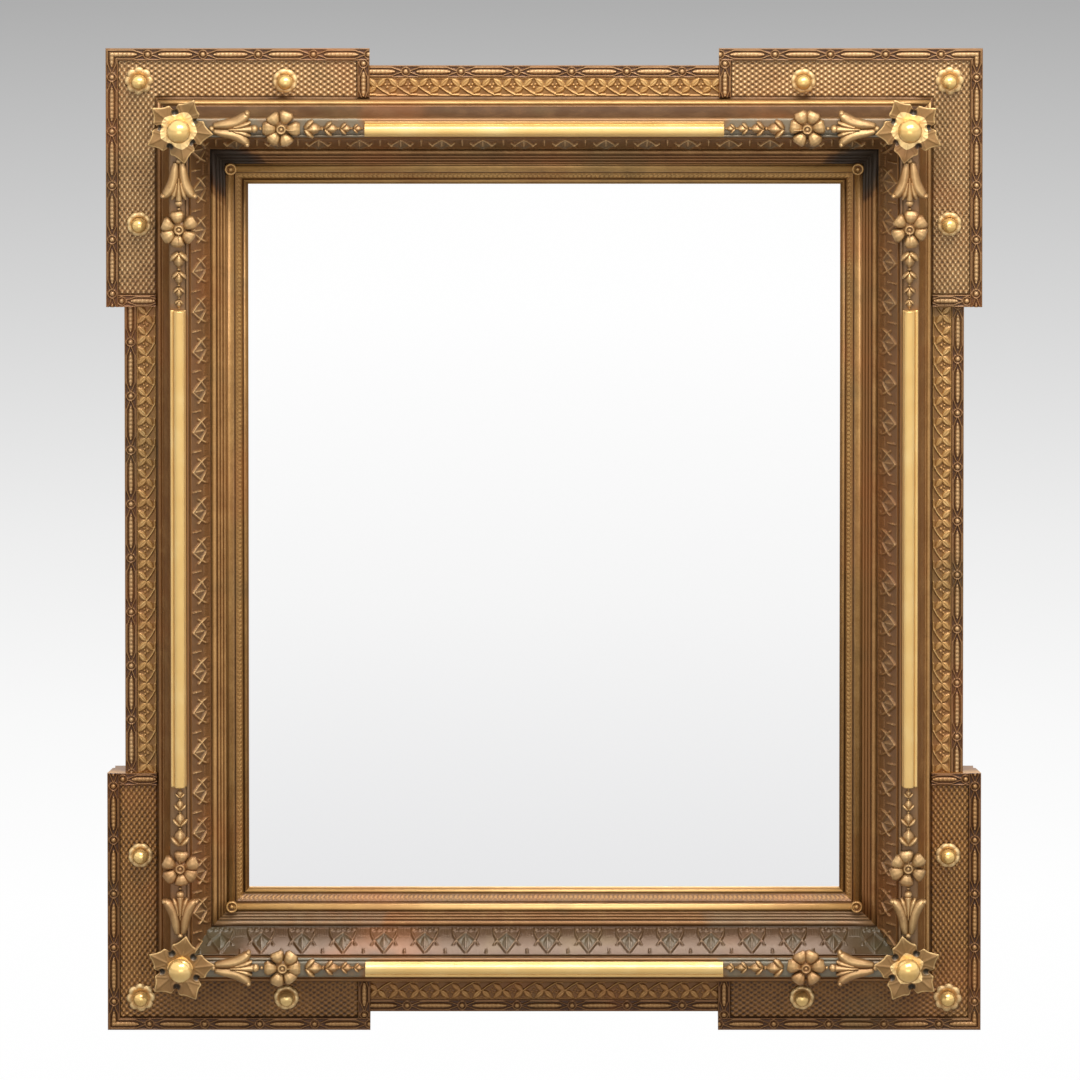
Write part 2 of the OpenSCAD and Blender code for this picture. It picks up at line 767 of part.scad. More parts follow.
// A husk is a short bell with a rounded keel between two side leaves
module husk(len) {
  rows = 3;
  pressed([
    for (i = [0:rows])
      let (t = i / rows, half = len * (0.12 + 0.34 * sin(110 * t)))
      [
        for (j = [0:4])
          let (s = j / 2 - 1, keel = [0.12, 0.6, 1, 0.6, 0.12][j])
          [len * 0.96 * (t - 0.2 * t * t * abs(s)), -half * s, 0.5 + len * 0.36 * keel * (0.55 + 0.45 * sin(170 * t))]
      ]
  ]);
}

module husk_drop() {
  for (i = [0:husk_count - 1])
    translate([husk_at + husk_len * (1 - pow(husk_ratio, i)) / (1 - husk_ratio), 0, 0])
      husk(husk_len * pow(husk_ratio, i));
}

module slip_button() {
  translate([button_x, 0, button_z]) on_wall(button_seat_h) difference() {
    union() {
      cylinder(button_h * 0.55, button_r, button_r);
      translate([0, 0, button_h * 0.55]) rotate_extrude() translate([button_r - 1.6, 0]) circle(1.6);
      cylinder(button_h, 2.2, 1.6);
    }
    translate([0, 0, -4]) cylinder(4, 2 * button_r, 2 * button_r);
  }
}

// Studs on the ears

module at_studs() {
  every_corner() {
    translate([half_w - stud_in, 0, half_h - stud_in]) on_wall(ear_t) children(0);
    translate([half_w - stud_leg, 0, half_h - stud_in]) on_wall(ear_t) children(1);
    translate([half_w - stud_in, 0, half_h - stud_leg]) on_wall(ear_t) children(1);
  }
}

module stud_flower(r) {
  lobe = r * sin(180 / stud_petals) * 1.15;
  linear_extrude(stud_flower_t * 0.6) {
    circle(r - lobe * 0.8);
    for (i = [0:stud_petals - 1]) rotate(360 * i / stud_petals) circle_at([r - lobe, 0], lobe);
  }
  translate([0, 0, stud_flower_t * 0.3]) cylinder(stud_flower_t * 0.7, r * 0.8, r * 0.62);
}

module stud_ball() {
  neck_h = 1.6;
  translate([0, 0, stud_flower_t]) {
    cylinder(neck_h, stud_r * 0.86, stud_r * 0.8);
    intersection() {
      translate([0, 0, neck_h + stud_r * 0.55]) sphere(stud_r);
      translate([0, 0, neck_h]) cylinder(3 * stud_r, 2 * stud_r, 2 * stud_r);
    }
  }
}

// Mirror plate, its blocks and the backboards

module mirror_plate() {
  translate([-plate_w / 2, -plate_front, -plate_h / 2]) difference() {
    cube([plate_w, plate_t, plate_h]);
    for (x = [0, plate_w]) translate([x, plate_t, -1]) rotate(45)
      translate([-plate_arris, -plate_arris, 0]) cube([2 * plate_arris, 2 * plate_arris, plate_h + 2]);
  }
}

module plate_blocks() {
  width = rebate_w - plate_play;
  for (k = [BOTTOM:LEFT], i = [0:block_count - 1]) {
    step = side_length(k) / (block_count + 0.5);
    on_side(k) translate([(i - (block_count - 1) / 2) * step, 0, -side_half(k) - rebate_w])
      on_wall(moulding_back) linear_extrude(block_t)
        polygon([[-block_len / 2, 0], [block_len / 2, 0], [block_len / 2 - width, width], [width - block_len / 2, width]]);
  }
}

// i is -1 for the left board, 0 for the middle one and 1 for the right one
module back_board(i) {
  l = sight_h + 2 * board_out;
  difference() {
    translate([i * (board_w + board_gap) - board_w / 2, -moulding_back, -l / 2]) cube([board_w, board_t, l]);
    at_board_screws() into_frame() screw_hole();
  }
}

module back_screws() {
  at_board_screws() into_frame() screw();
}

// Hangers: a strap with a rolled loop, and a D-shaped ring that hangs in it

module hanger_plate(s) {
  loop_r = loop_gap_r + strap_t;
  at_hanger(s) difference() {
    union() {
      translate([-strap_w / 2, 0, 0]) rotate([0, 90, 0]) cylinder(strap_w, loop_r, loop_r);
      translate([-strap_w / 2, axis_h - moulding_back, -strap_len]) cube([strap_w, strap_t, strap_len]);
    }
    translate([-strap_w, 0, 0]) rotate([0, 90, 0]) cylinder(2 * strap_w, loop_gap_r, loop_gap_r);
    for (d = strap_screws) translate([0, axis_h - moulding_back + strap_t, -strap_len * d]) into_frame() screw_hole();
  }
}

module hanger_ring(s) {
  c = ring_half_w + ring_wire_r;
  at_hanger(s) {
    translate([-c, 0, 0]) rotate([0, 90, 0]) cylinder(2 * c, ring_wire_r, ring_wire_r);
    for (x = [-c, c]) translate([x, 0, 0]) {
      sphere(ring_wire_r);
      translate([0, 0, -ring_side]) cylinder(ring_side, ring_wire_r, ring_wire_r);
    }
    translate([0, 0, -ring_side]) rotate([-90, 0, 0]) rotate_extrude(angle = 180)
      translate([c, 0]) circle(ring_wire_r);
  }
}

module hanger_screws() {
  at_hanger_screws() into_frame() screw();
}

// Everything in its place

color("peru") in_corner(-1, 1) ear();  // ear_top_left
color("peru") in_corner(1, 1) ear();  // ear_top_right
color("peru") in_corner(-1, -1) ear();  // ear_bottom_left
color("peru") in_corner(1, -1) ear();  // ear_bottom_right
color("sienna") rail(TOP);  // rail_top
color("sienna") rail(BOTTOM);  // rail_bottom
color("sienna") rail(LEFT);  // rail_left
color("sienna") rail(RIGHT);  // rail_right
color("saddlebrown") moulding(TOP);  // moulding_top
color("saddlebrown") moulding(BOTTOM);  // moulding_bottom
color("saddlebrown") moulding(LEFT);  // moulding_left
color("saddlebrown") moulding(RIGHT);  // moulding_right
color("darkgoldenrod") slip(TOP);  // slip_top
color("darkgoldenrod") slip(BOTTOM);  // slip_bottom
color("darkgoldenrod") slip(LEFT);  // slip_left
color("darkgoldenrod") slip(RIGHT);  // slip_right
color("gold") gilt_round(TOP);  // gilt_round_top
color("gold") gilt_round(BOTTOM);  // gilt_round_bottom
color("gold") gilt_round(LEFT);  // gilt_round_left
color("gold") gilt_round(RIGHT);  // gilt_round_right
color("peru") slope_band(TOP);  // slope_band_top
color("peru") slope_band(BOTTOM);  // slope_band_bottom
color("peru") slope_band(LEFT);  // slope_band_left
color("peru") slope_band(RIGHT);  // slope_band_right
color("goldenrod") in_corner(-1, 1) ear_edging();  // ear_edging_top_left
color("goldenrod") in_corner(1, 1) ear_edging();  // ear_edging_top_right
color("goldenrod") in_corner(-1, -1) ear_edging();  // ear_edging_bottom_left
color("goldenrod") in_corner(1, -1) ear_edging();  // ear_edging_bottom_right
color("goldenrod") rail_edging(TOP);  // rail_edging_top
color("goldenrod") rail_edging(BOTTOM);  // rail_edging_bottom
color("goldenrod") rail_edging(LEFT);  // rail_edging_left
color("goldenrod") rail_edging(RIGHT);  // rail_edging_right
color("tan") vine_band(TOP);  // vine_band_top
color("tan") vine_band(BOTTOM);  // vine_band_bottom
color("tan") vine_band(LEFT);  // vine_band_left
color("tan") vine_band(RIGHT);  // vine_band_right
color("khaki") in_corner(-1, 1) corner_leaf();  // corner_leaf_top_left
color("khaki") in_corner(1, 1) corner_leaf();  // corner_leaf_top_right
color("khaki") in_corner(-1, -1) corner_leaf();  // corner_leaf_bottom_left
color("khaki") in_corner(1, -1) corner_leaf();  // corner_leaf_bottom_right
color("gold") every_corner() corner_ball();  // corner_balls
color("burlywood") at_drops() calyx();  // calyxes
color("burlywood") at_drops() flower();  // flowers
color("burlywood") at_drops() husk_drop();  // husks
color("khaki") at_studs() {  // stud_flowers
  stud_flower(stud_flower_r);
  stud_flower(stud_leg_r);
}
color("gold") at_studs() {  // stud_balls
  stud_ball();
  stud_ball();
}
color("goldenrod") every_corner() slip_button();  // slip_buttons
color("whitesmoke") mirror_plate();
color("wheat") plate_blocks();
color("tan") back_board(-1);  // back_board_left
color("tan") back_board(0);  // back_board_middle
color("tan") back_board(1);  // back_board_right
color("dimgray") back_screws();
color("darkgoldenrod") hanger_plate(-1);  // hanger_plate_left
color("darkgoldenrod") hanger_plate(1);  // hanger_plate_right
color("dimgray") hanger_screws();
color("darkgoldenrod") hanger_ring(-1);  // hanger_ring_left
color("darkgoldenrod") hanger_ring(1);  // hanger_ring_right
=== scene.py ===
"""Looks of an eared, gilded wall mirror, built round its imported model.

Shapes are worked out in millimetres and written in metres. X runs to the right, Z up, and the front
faces -Y. A height is measured from the wall forwards. A distance called out is measured from the
sight edge of the mirror outwards. Sides are counted from the bottom: 0 bottom, 1 right, 2 top, 3 left,
and lists of four values are in that order.
"""

import json
import math

import bpy
import numpy as np
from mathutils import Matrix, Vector


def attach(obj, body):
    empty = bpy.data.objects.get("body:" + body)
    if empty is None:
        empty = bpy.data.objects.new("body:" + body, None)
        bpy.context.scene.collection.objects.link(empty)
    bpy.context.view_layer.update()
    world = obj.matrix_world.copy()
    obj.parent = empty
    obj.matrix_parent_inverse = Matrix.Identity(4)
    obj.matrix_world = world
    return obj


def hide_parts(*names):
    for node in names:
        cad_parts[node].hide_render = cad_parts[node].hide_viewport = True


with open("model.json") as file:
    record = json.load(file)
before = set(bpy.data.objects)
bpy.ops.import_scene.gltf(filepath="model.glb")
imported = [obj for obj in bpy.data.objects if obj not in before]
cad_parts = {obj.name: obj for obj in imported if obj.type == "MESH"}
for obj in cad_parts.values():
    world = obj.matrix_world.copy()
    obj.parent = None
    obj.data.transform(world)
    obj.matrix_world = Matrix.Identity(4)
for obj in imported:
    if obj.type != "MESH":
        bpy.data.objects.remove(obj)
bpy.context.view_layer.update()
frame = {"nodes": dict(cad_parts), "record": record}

# Sizes of the model in millimetres
SIGHT_W = 617.6
SIGHT_H = 751.6
SLIP_W = 23.2
REBATE_W = 8.7
PLATE_FRONT = 14.0
LIP_FRONT = 17.0
SLIP_H = 27.2
SLIP_BEAD_OUT = 18.2
SLIP_BEAD_R = 3.5
MOULDING_BACK = 8.0
RAIL_OUT = 96.2
RAIL_EDGE_OUT = 129.2
EAR_EDGE_OUT = 148.2
RAIL_T = 31.5
EAR_T = 36.0
EAR_W = 52.0
EAR_LEG = 275.0
BACK_REBATE_W = 8.0
BACK_REBATE_H = 11.0
EDGE_SLANT = 5.6
SEAT_H = 80.0
SEAT_OUT = 71.8
ROUND_R = 6.0
FOOT_H = 26.8
SLOPE_FOOT = np.array([39.6, FOOT_H])
SLOPE_TOP = np.array([62.0, 77.0])
SLOPE_SAG = 2.0
STEP_OUT = SLOPE_FOOT[0] - 3.2
STEP_R = 2.8
REED_R = 1.6
CREST_R = 1.5
COVE_FOOT = np.array([90.0, 47.0])
COVE_TOP = np.array([81.9, 78.0])
COVE_SAG = 3.6
LEDGE_H = 34.6
HALF_W = SIGHT_W / 2 + EAR_EDGE_OUT
HALF_H = SIGHT_H / 2 + EAR_EDGE_OUT
SEAT_X = SIGHT_W / 2 + SEAT_OUT
SEAT_Z = SIGHT_H / 2 + SEAT_OUT
FLOWER_AT = 106.7
HUSK_AT = 130.4
HUSK_LEN = 21.0
HUSK_RATIO = 0.8
DROP_END = 192.4

# Pressed ornament: widths of its strips, their ground over the flat below, pitches of the patterns, and
# the net's depth
EDGE_W = 12.8
EDGING_PITCH = 57.6
EDGE_STEP = (0.72, 0.5)
EDGING_GROUND = 1.2
VINE_W = 19.6
VINE_GROUND = 0.8
VINE_PITCH = 21.8
BAND_TOP = 3.5
BAND_W = 48.0
BAND_GROUND = 1.2
LOZENGE_PITCH = 42.8
TONGUE_PITCH = 4.6
NET_DEPTH = 1.4

# Where a lozenge stands on each side, measured along it from its middle
LOZENGE_START = [3.4, 0.0, 21.2, 8.6]

# How far the painted shadow reaches from an upper inner corner
CORNER_SHADE_REACH = 52.0

SIDES = ["bottom", "right", "top", "left"]
CORNERS = {"top_left": (-1, 1), "top_right": (1, 1), "bottom_left": (-1, -1), "bottom_right": (1, -1)}


# Places on the frame


def half_length(k, out):
    """Half the length of side k between its mitres, at a distance out."""
    return (SIGHT_W, SIGHT_H)[k % 2] / 2 + out


def rail_half(k):
    """Half the length of a flat rail, which ends at the ears."""
    return half_length(k, EAR_EDGE_OUT) - EAR_LEG


def on_side(k, along, out, height):
    """Points of side k: those of the bottom side turned by k quarter turns to the left."""
    along, out, height = np.broadcast_arrays(along, out, height)
    x, z = along, -half_length(k + 1, out)
    for _ in range(k):
        x, z = -z, x
    return np.stack([x, -height, z], -1)


def in_corner(corner, x, z, height):
    """Points drawn for the top right corner, carried to another one by the signs of its X and Z."""
    sx, sz = CORNERS[corner]
    x, z, height = np.broadcast_arrays(x, z, height)
    return np.stack([sx * x, -height, sz * z], -1)


# A place is a function that carries local x, y and height to points of the frame


def side_place(k, out, way=1):
    """x runs along side k, and y outwards from the distance out, or inwards where way is -1."""

    def place(x, y, h):
        return on_side(k, x, out + way * y, h)

    return place


def corner_place(corner, x0, z0, base=0.0, x_way=1, z_way=1, upright=False):
    """x runs along X from x0 and y along Z from z0, or the other way round in an upright place.
    x_way and z_way are -1 where they run towards the middle of the frame."""

    def place(x, y, h):
        if upright:
            x, y = y, x
        return in_corner(corner, x0 + x_way * x, z0 + z_way * y, base + h)

    return place


def within(place, x0, y0=0.0, size=1.0, turn=0.0):
    """A place inside another one: turned by an angle in radians, scaled, and moved to (x0, y0)."""
    c, s = math.cos(turn), math.sin(turn)

    def local(x, y, h):
        return place(x0 + size * (x * c - y * s), y0 + size * (x * s + y * c), size * h)

    return local


def placed(points, place):
    return place(points[..., 0], points[..., 1], points[..., 2])


def drop_places():
    """The eight drops: from each corner along its top or bottom, and along its side."""
    places = []
    for corner in CORNERS:
        places.append(corner_place(corner, SEAT_X, SEAT_Z, SEAT_H, -1, -1))
        places.append(corner_place(corner, SEAT_X, SEAT_Z, SEAT_H, 1, -1, upright=True))
    return places


def stud_places(base):
    """The twelve studs with their flowers' radius: one at each ear's corner and one on each of its legs."""
    spots = ((34.5, 34.5, 15.0), (187, 34.5, 13.0), (34.5, 187, 13.0))
    places = [(corner, *spot) for corner in CORNERS for spot in spots]
    return [(corner_place(corner, HALF_W - x, HALF_H - z, base), radius) for corner, x, z, radius in places]


# Meshes


class Shape:
    """Gathers closed solids and writes them as one mesh, in metres. Each point has a relief value,
    from 0 in a hollow to 1 on a crown, and a tone that the piece's finish reads in its own way."""

    def __init__(self):
        self.points, self.faces, self.relief, self.tone, self.count = [], [], [], [], 0

    def add(self, points, faces, relief, tone=0.0):
        """Adds one closed solid. faces is a list of (index array, smooth), each array with faces of one size.
        Its faces are turned round where the sum of its corner determinants is negative, as its volume is
        when they point inwards."""
        points = np.asarray(points, float).reshape(-1, 3)
        volume = 0.0
        for index, _ in faces:
            fan = points[index]
            for j in range(1, index.shape[1] - 1):
                volume += np.einsum("ij,ij->", fan[:, 0], np.cross(fan[:, j], fan[:, j + 1]))
        for index, smooth in faces:
            turned = index if volume > 0 else index[:, ::-1]
            self.faces.append((turned + self.count, smooth))
        self.points.append(points)
        for values, store in ((relief, self.relief), (tone, self.tone)):
            store.append(np.broadcast_to(np.asarray(values, float).ravel(), (len(points),)))
        self.count += len(points)

    def write(self, name, material, slot, replaced, body="frame"):
        """Makes the piece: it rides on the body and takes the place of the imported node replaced."""
        points = np.concatenate(self.points) * 0.001
        loops = np.concatenate([index.ravel() for index, _ in self.faces])
        sizes = np.concatenate([np.full(len(index), index.shape[1]) for index, _ in self.faces])
        smooth = np.concatenate([np.full(len(index), flag) for index, flag in self.faces])
        mesh = bpy.data.meshes.new(name)
        mesh.vertices.add(len(points))
        mesh.vertices.foreach_set("co", points.ravel())
        mesh.loops.add(len(loops))
        mesh.loops.foreach_set("vertex_index", loops.astype(np.int32))
        mesh.polygons.add(len(sizes))
        starts = np.concatenate([[0], np.cumsum(sizes)[:-1]])
        mesh.polygons.foreach_set("loop_start", starts.astype(np.int32))
        mesh.update(calc_edges=True)
        mesh.validate()
        mesh.polygons.foreach_set("use_smooth", smooth.astype(bool))
        for label, values in (("relief", self.relief), ("tone", self.tone)):
            attribute = mesh.attributes.new(label, "FLOAT", "POINT")
            attribute.data.foreach_set("value", np.concatenate(values).astype(np.float32))
        mesh.materials.append(material)
        piece = bpy.data.objects.new(name, mesh)
        bpy.context.scene.collection.objects.link(piece)
        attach(piece, body)
        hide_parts(replaced)


def grid_faces(index):
    """Quads between the neighbours of a grid of point numbers."""
    return np.stack([index[:-1, :-1], index[1:, :-1], index[1:, 1:], index[:-1, 1:]], -1).reshape(-1, 4)


def relief_slab(shape, top, base_start, base_end, relief, tone=0.0):
    """A grid of points closed by two end walls, two long walls and a back.
    base_start and base_end are the back's corners below the grid's first and last row."""
    n, m = top.shape[:2]
    index = np.arange(n * m).reshape(n, m)
    q = len(base_start)
    start = n * m + np.arange(q)
    end = start + q
    faces = [
        (grid_faces(index), True),
        (np.stack([start[:-1], start[1:], end[1:], end[:-1]], -1), False),
        (np.concatenate([index[0], start[::-1]])[None], False),
        (np.concatenate([index[-1, ::-1], end])[None], False),
        (np.concatenate([index[::-1, 0], [start[0], end[0]]])[None], False),
        (np.concatenate([index[:, -1], [end[-1], start[-1]]])[None], False),
    ]
    points = np.concatenate([top.reshape(-1, 3), base_start, base_end])
    spread = [np.concatenate([np.broadcast_to(v, (n, m)).ravel(), np.zeros(2 * q)]) for v in (relief, tone)]
    shape.add(points, faces, *spread)


def disc_solid(shape, rings, middle, back_middle, relief, tone=0.0):
    """Rings of points from the middle out to the rim and round to the back, closed by two fans.
    rings has the shape (rings, around, 3)."""
    n, m = rings.shape[:2]
    index = np.arange(n * m).reshape(n, m)
    closed = np.concatenate([index, index[:, :1]], 1)
    first = n * m
    front = np.stack([np.full(m, first), closed[0, 1:], closed[0, :-1]], -1)
    back = np.stack([np.full(m, first + 1), closed[-1, :-1], closed[-1, 1:]], -1)
    points = np.concatenate([rings.reshape(-1, 3), [middle], [back_middle]])
    spread = []
    for value in (relief, tone):
        value = np.broadcast_to(value, (n, m))
        spread.append(np.concatenate([value.ravel(), [value[0].mean()], [0.0]]))
    shape.add(points, [(grid_faces(closed)[:, ::-1], True), (front, True), (back, False)], *spread)


def add_turned(shape, profile, place, relief, around=40):
    """A turned solid: each (radius, height) of the profile is swept round the axis."""
    angle = np.linspace(0, 2 * np.pi, around, endpoint=False)
    r, h = np.asarray(profile, float).T[:, :, None]
    rings = np.stack([r * np.cos(angle), r * np.sin(angle), h + 0 * angle], -1)
    values = np.broadcast_to(np.reshape(relief, (-1, 1)), rings.shape[:2])
    ends = [place(0.0, 0.0, profile[i][1]) for i in (0, -1)]
    disc_solid(shape, placed(rings, place), *ends, values)


def exposure(profile, reach=5):
    """How far each point of a closed profile stands out of the mean of its neighbours, from 0 to 1."""
    mean = sum(np.roll(profile, s, 0) for s in range(-reach, reach + 1)) / (2 * reach + 1)
    along = np.roll(profile, -1, 0) - np.roll(profile, 1, 0)
    normal = np.stack([along[:, 1], -along[:, 0]], -1)
    normal = normal / np.linalg.norm(along, axis=1, keepdims=True).clip(1e-6)
    area = np.sum(profile[:, 0] * np.roll(profile[:, 1], -1) - profile[:, 1] * np.roll(profile[:, 0], -1))
    stand = np.einsum("ij,ij->i", profile - mean, normal) * np.sign(area)
    return np.clip(0.5 + stand / 0.8, 0, 1)


def side_run(shape, k, profile, half, relief, shares=(-1, 1), tone=0.0):
    """A closed profile of (out, height) run along side k. half gives each point's half length, and
    shares says at which parts of it the sections stand."""
    share = np.asarray(shares, float)[:, None]
    points = on_side(k, share * half, profile[:, 0], profile[:, 1])
    size = points.shape[:2]
    index = np.arange(size[0] * size[1]).reshape(size)
    closed = np.concatenate([index, index[:, :1]], 1)
    faces = [(grid_faces(closed), True), (index[0][None], False), (index[-1, ::-1][None], False)]
    shape.add(points, faces, np.broadcast_to(relief, size), np.broadcast_to(tone, size))


def joined(parts):
    """The points of a section's parts, one after another."""
    return np.concatenate([np.asarray(part, float) for part in parts])


def arc(middle, radius, start, stop, count):
    """Points of an arc, from the angle start to the angle stop, in degrees."""
    angle = np.radians(np.linspace(start, stop, count))
    return np.stack([middle[0] + radius * np.cos(angle), middle[1] + radius * np.sin(angle)], -1)


def bow(p, q, sag, count):
    """Points of the arc from p to q that stands sag to the right of the way."""
    way = q - p
    share = np.linspace(0, 1, count)[:, None]
    right = np.array([way[1], -way[0]]) / np.linalg.norm(way)
    return p + share * way + right * sag * 4 * share * (1 - share)


def filled(points, step):
    """A closed line with extra points, no further apart than step."""
    parts = []
    for a, b in zip(points, np.roll(points, -1, 0)):
        n = max(1, int(np.ceil(np.linalg.norm(b - a) / step)))
        parts.append(a + (b - a) * np.linspace(0, 1, n, endpoint=False)[:, None])
    return np.concatenate(parts)


# Reliefs: heights over a flat, in millimetres


def fold(x, pitch):
    """Distance from the nearest multiple of the pitch, with its sign."""
    return (x + pitch / 2) % pitch - pitch / 2


def ridge(distance, half_width):
    """Rounded line: half an ellipse across its width."""
    return np.sqrt(np.clip(1 - (distance / half_width) ** 2, 0, 1))


def soft_line(distance, width):
    """1 on a line, falling to 0 beside it: the bell curve of the distance over the width."""
    return np.exp(-((distance / width) ** 2))


def to_line(x, y, a, b):
    """Distance from each point to the straight piece a to b."""
    ax, ay = a
    bx, by = b[0] - ax, b[1] - ay
    share = np.clip(((x - ax) * bx + (y - ay) * by) / (bx * bx + by * by), 0, 1)
    return np.hypot(x - ax - share * bx, y - ay - share * by)


def leaf_dome(x, y, root, angle, length, width, crease=0.3):
    """A leaf that lies at an angle: a full round across its width, with a fine crease along the middle."""
    c, s = math.cos(math.radians(angle)), math.sin(math.radians(angle))
    u = ((x - root[0]) * c + (y - root[1]) * s) / length
    v = -(x - root[0]) * s + (y - root[1]) * c
    half = width / 2 * np.sin(np.pi * np.clip(u, 0, 1) ** 0.85) + 1e-6
    dome = np.clip(1 - (v / half) ** 2, 0, 1) ** 0.4 * ((u > 0) & (u < 1))
    return dome * (1 - crease * soft_line(v, 0.09 * width))


def woven_net(along, across):
    """A slanting net with a rounded knot at each crossing: the product of two cosines is 1 in the
    middle of a mesh and -1 on a knot."""
    weave = np.cos(2 * np.pi * along / 8.0) * np.cos(2 * np.pi * across / 5.6)
    return NET_DEPTH * (1 - ((1 + weave) / 2) ** 0.75)


def spindle_edging(x, v, pitch, spindle):
    """Beads in rings, joined by a ribbon that parts round a reeded spindle. x counts from a bead, v from
    the middle line, and spindle is the reeded part's half length."""
    c = fold(x, pitch)
    s = pitch / 2 - np.abs(c)
    d = np.hypot(c, v)
    bead = 3.0 * ridge(d, 3.0)
    ring = 1.9 * ridge(d - 4.4, 0.75)
    knee = (pitch / 2 - 14.4, 4.4)
    tie = (pitch / 2 - 4.3, 0.5)
    line = np.minimum(to_line(s, np.abs(v), tie, knee), to_line(s, np.abs(v), knee, (-1, 4.4)))
    ribbon = 2.0 * ridge(line, 0.75)
    half = 2.8 * np.sqrt(np.clip(1 - (s / spindle) ** 4, 0, 1)) + 1e-6
    reeds = 0.76 + 0.24 * np.abs(np.cos(np.pi * s / 4.4))
    body = 3.0 * ridge(v, half) * reeds * (s < spindle)
    return np.maximum.reduce([bead, ring, ribbon, body])


def vine_trellis(x, v, turn):
    """A stem and three leaves meet at each crossing, with three berries between two stems.
    v runs from the inner edge to the outer edge."""
    height = np.zeros(np.broadcast(x, v).shape)
    for shift in (-1, 0, 1):
        c = turn * fold(x, VINE_PITCH) + shift * VINE_PITCH
        parts = [
            2.0 * leaf_dome(c, v, (0.5, 10.2), 44, 12.4, 6.6),
            2.0 * leaf_dome(c, v, (-0.5, 10.2), 137, 12.4, 6.6),
            1.7 * leaf_dome(c, v, (-0.4, 9.8), 214, 11.6, 6.2),
            2.1 * ridge(to_line(c, v, (-0.4, 10.4), (6.6, 5.2)), 0.9),
            2.1 * ridge(to_line(c, v, (6.6, 5.2), (13.6, 1.4)), 0.9),
            1.5 * ridge(to_line(c, v, (13.6, 1.4), (20.0, 1.6)), 0.8),
            1.3 * ridge(np.hypot(c - 10.9, v - 9.0), 1.4),
            1.2 * ridge(np.hypot(c - 8.8, v - 11.8), 1.2),
            1.2 * ridge(np.hypot(c - 12.4, v - 12.4), 1.2),
        ]
        height = np.maximum(height, np.maximum.reduce(parts))
    edge = 1.0 * ridge(np.minimum(v - 0.6, 19.0 - v), 0.7)
    return np.maximum(height, edge)


def lozenge_row(x, t, dash_end):
    """Lozenges with a leaf inside. Two lines run down from each upper point and cross the two that close
    the lozenge below, which end above in short tails. Curls stand at the foot and a dash, down to
    dash_end, between two lozenges. t runs down from the band's upper edge. Returns the height and the
    part inside a lozenge."""
    between = LOZENGE_PITCH / 2
    c = np.abs(fold(x, LOZENGE_PITCH))
    falling = [(0, 4.0), (9.8, 27.0), (12.8, 36.0), (13.8, 42.0)]
    closing = [(12.9, 19.6), (9.8, 27.0), (0, 39.7)]
    pieces = [to_line(c, t, a, b) for line in (falling, closing) for a, b in zip(line, line[1:])]
    lines = 2.2 * ridge(np.minimum.reduce(pieces), 1.2)
    inside = (c < 9.0 * (t - 5.0) / 22.0) & (c < 9.0 * (38.6 - t) / 11.6)
    leaf = 1.1 * leaf_dome(c, t, (0, 8.5), 90, 27.0, 8.0, 0.0) + 1.0 * ridge(c, 0.8) * (t > 11) * (t < 33)
    curl = 2.1 * ridge(np.hypot(c - 11.8, t - 44.6), 3.2) - 1.5 * ridge(np.hypot(c - 11.8, t - 45.0), 1.2)
    scroll = 1.8 * ridge(np.hypot(c - 5.2, t - 44.4), 2.5) - 0.9 * ridge(np.hypot(c - 5.2, t - 44.8), 0.9)
    knob = 1.8 * ridge(np.hypot(c, t - 44.8), 2.0)
    dash = 1.9 * ridge(to_line(c, t, (between, 3.0), (between, dash_end)), 0.8)
    dot = 2.3 * ridge(np.hypot(c - between, t - 0.45 * dash_end), 1.5)
    reeds = 0.7 * np.abs(np.cos(np.pi * (c - between) / 2.6)) * (t > 34.0) * (t < 47.0) * (c > 15.6)
    height = np.maximum.reduce([lines, leaf * inside, curl, scroll, knob, dash, dot, reeds])
    return height, inside.astype(float)


# Procedural materials


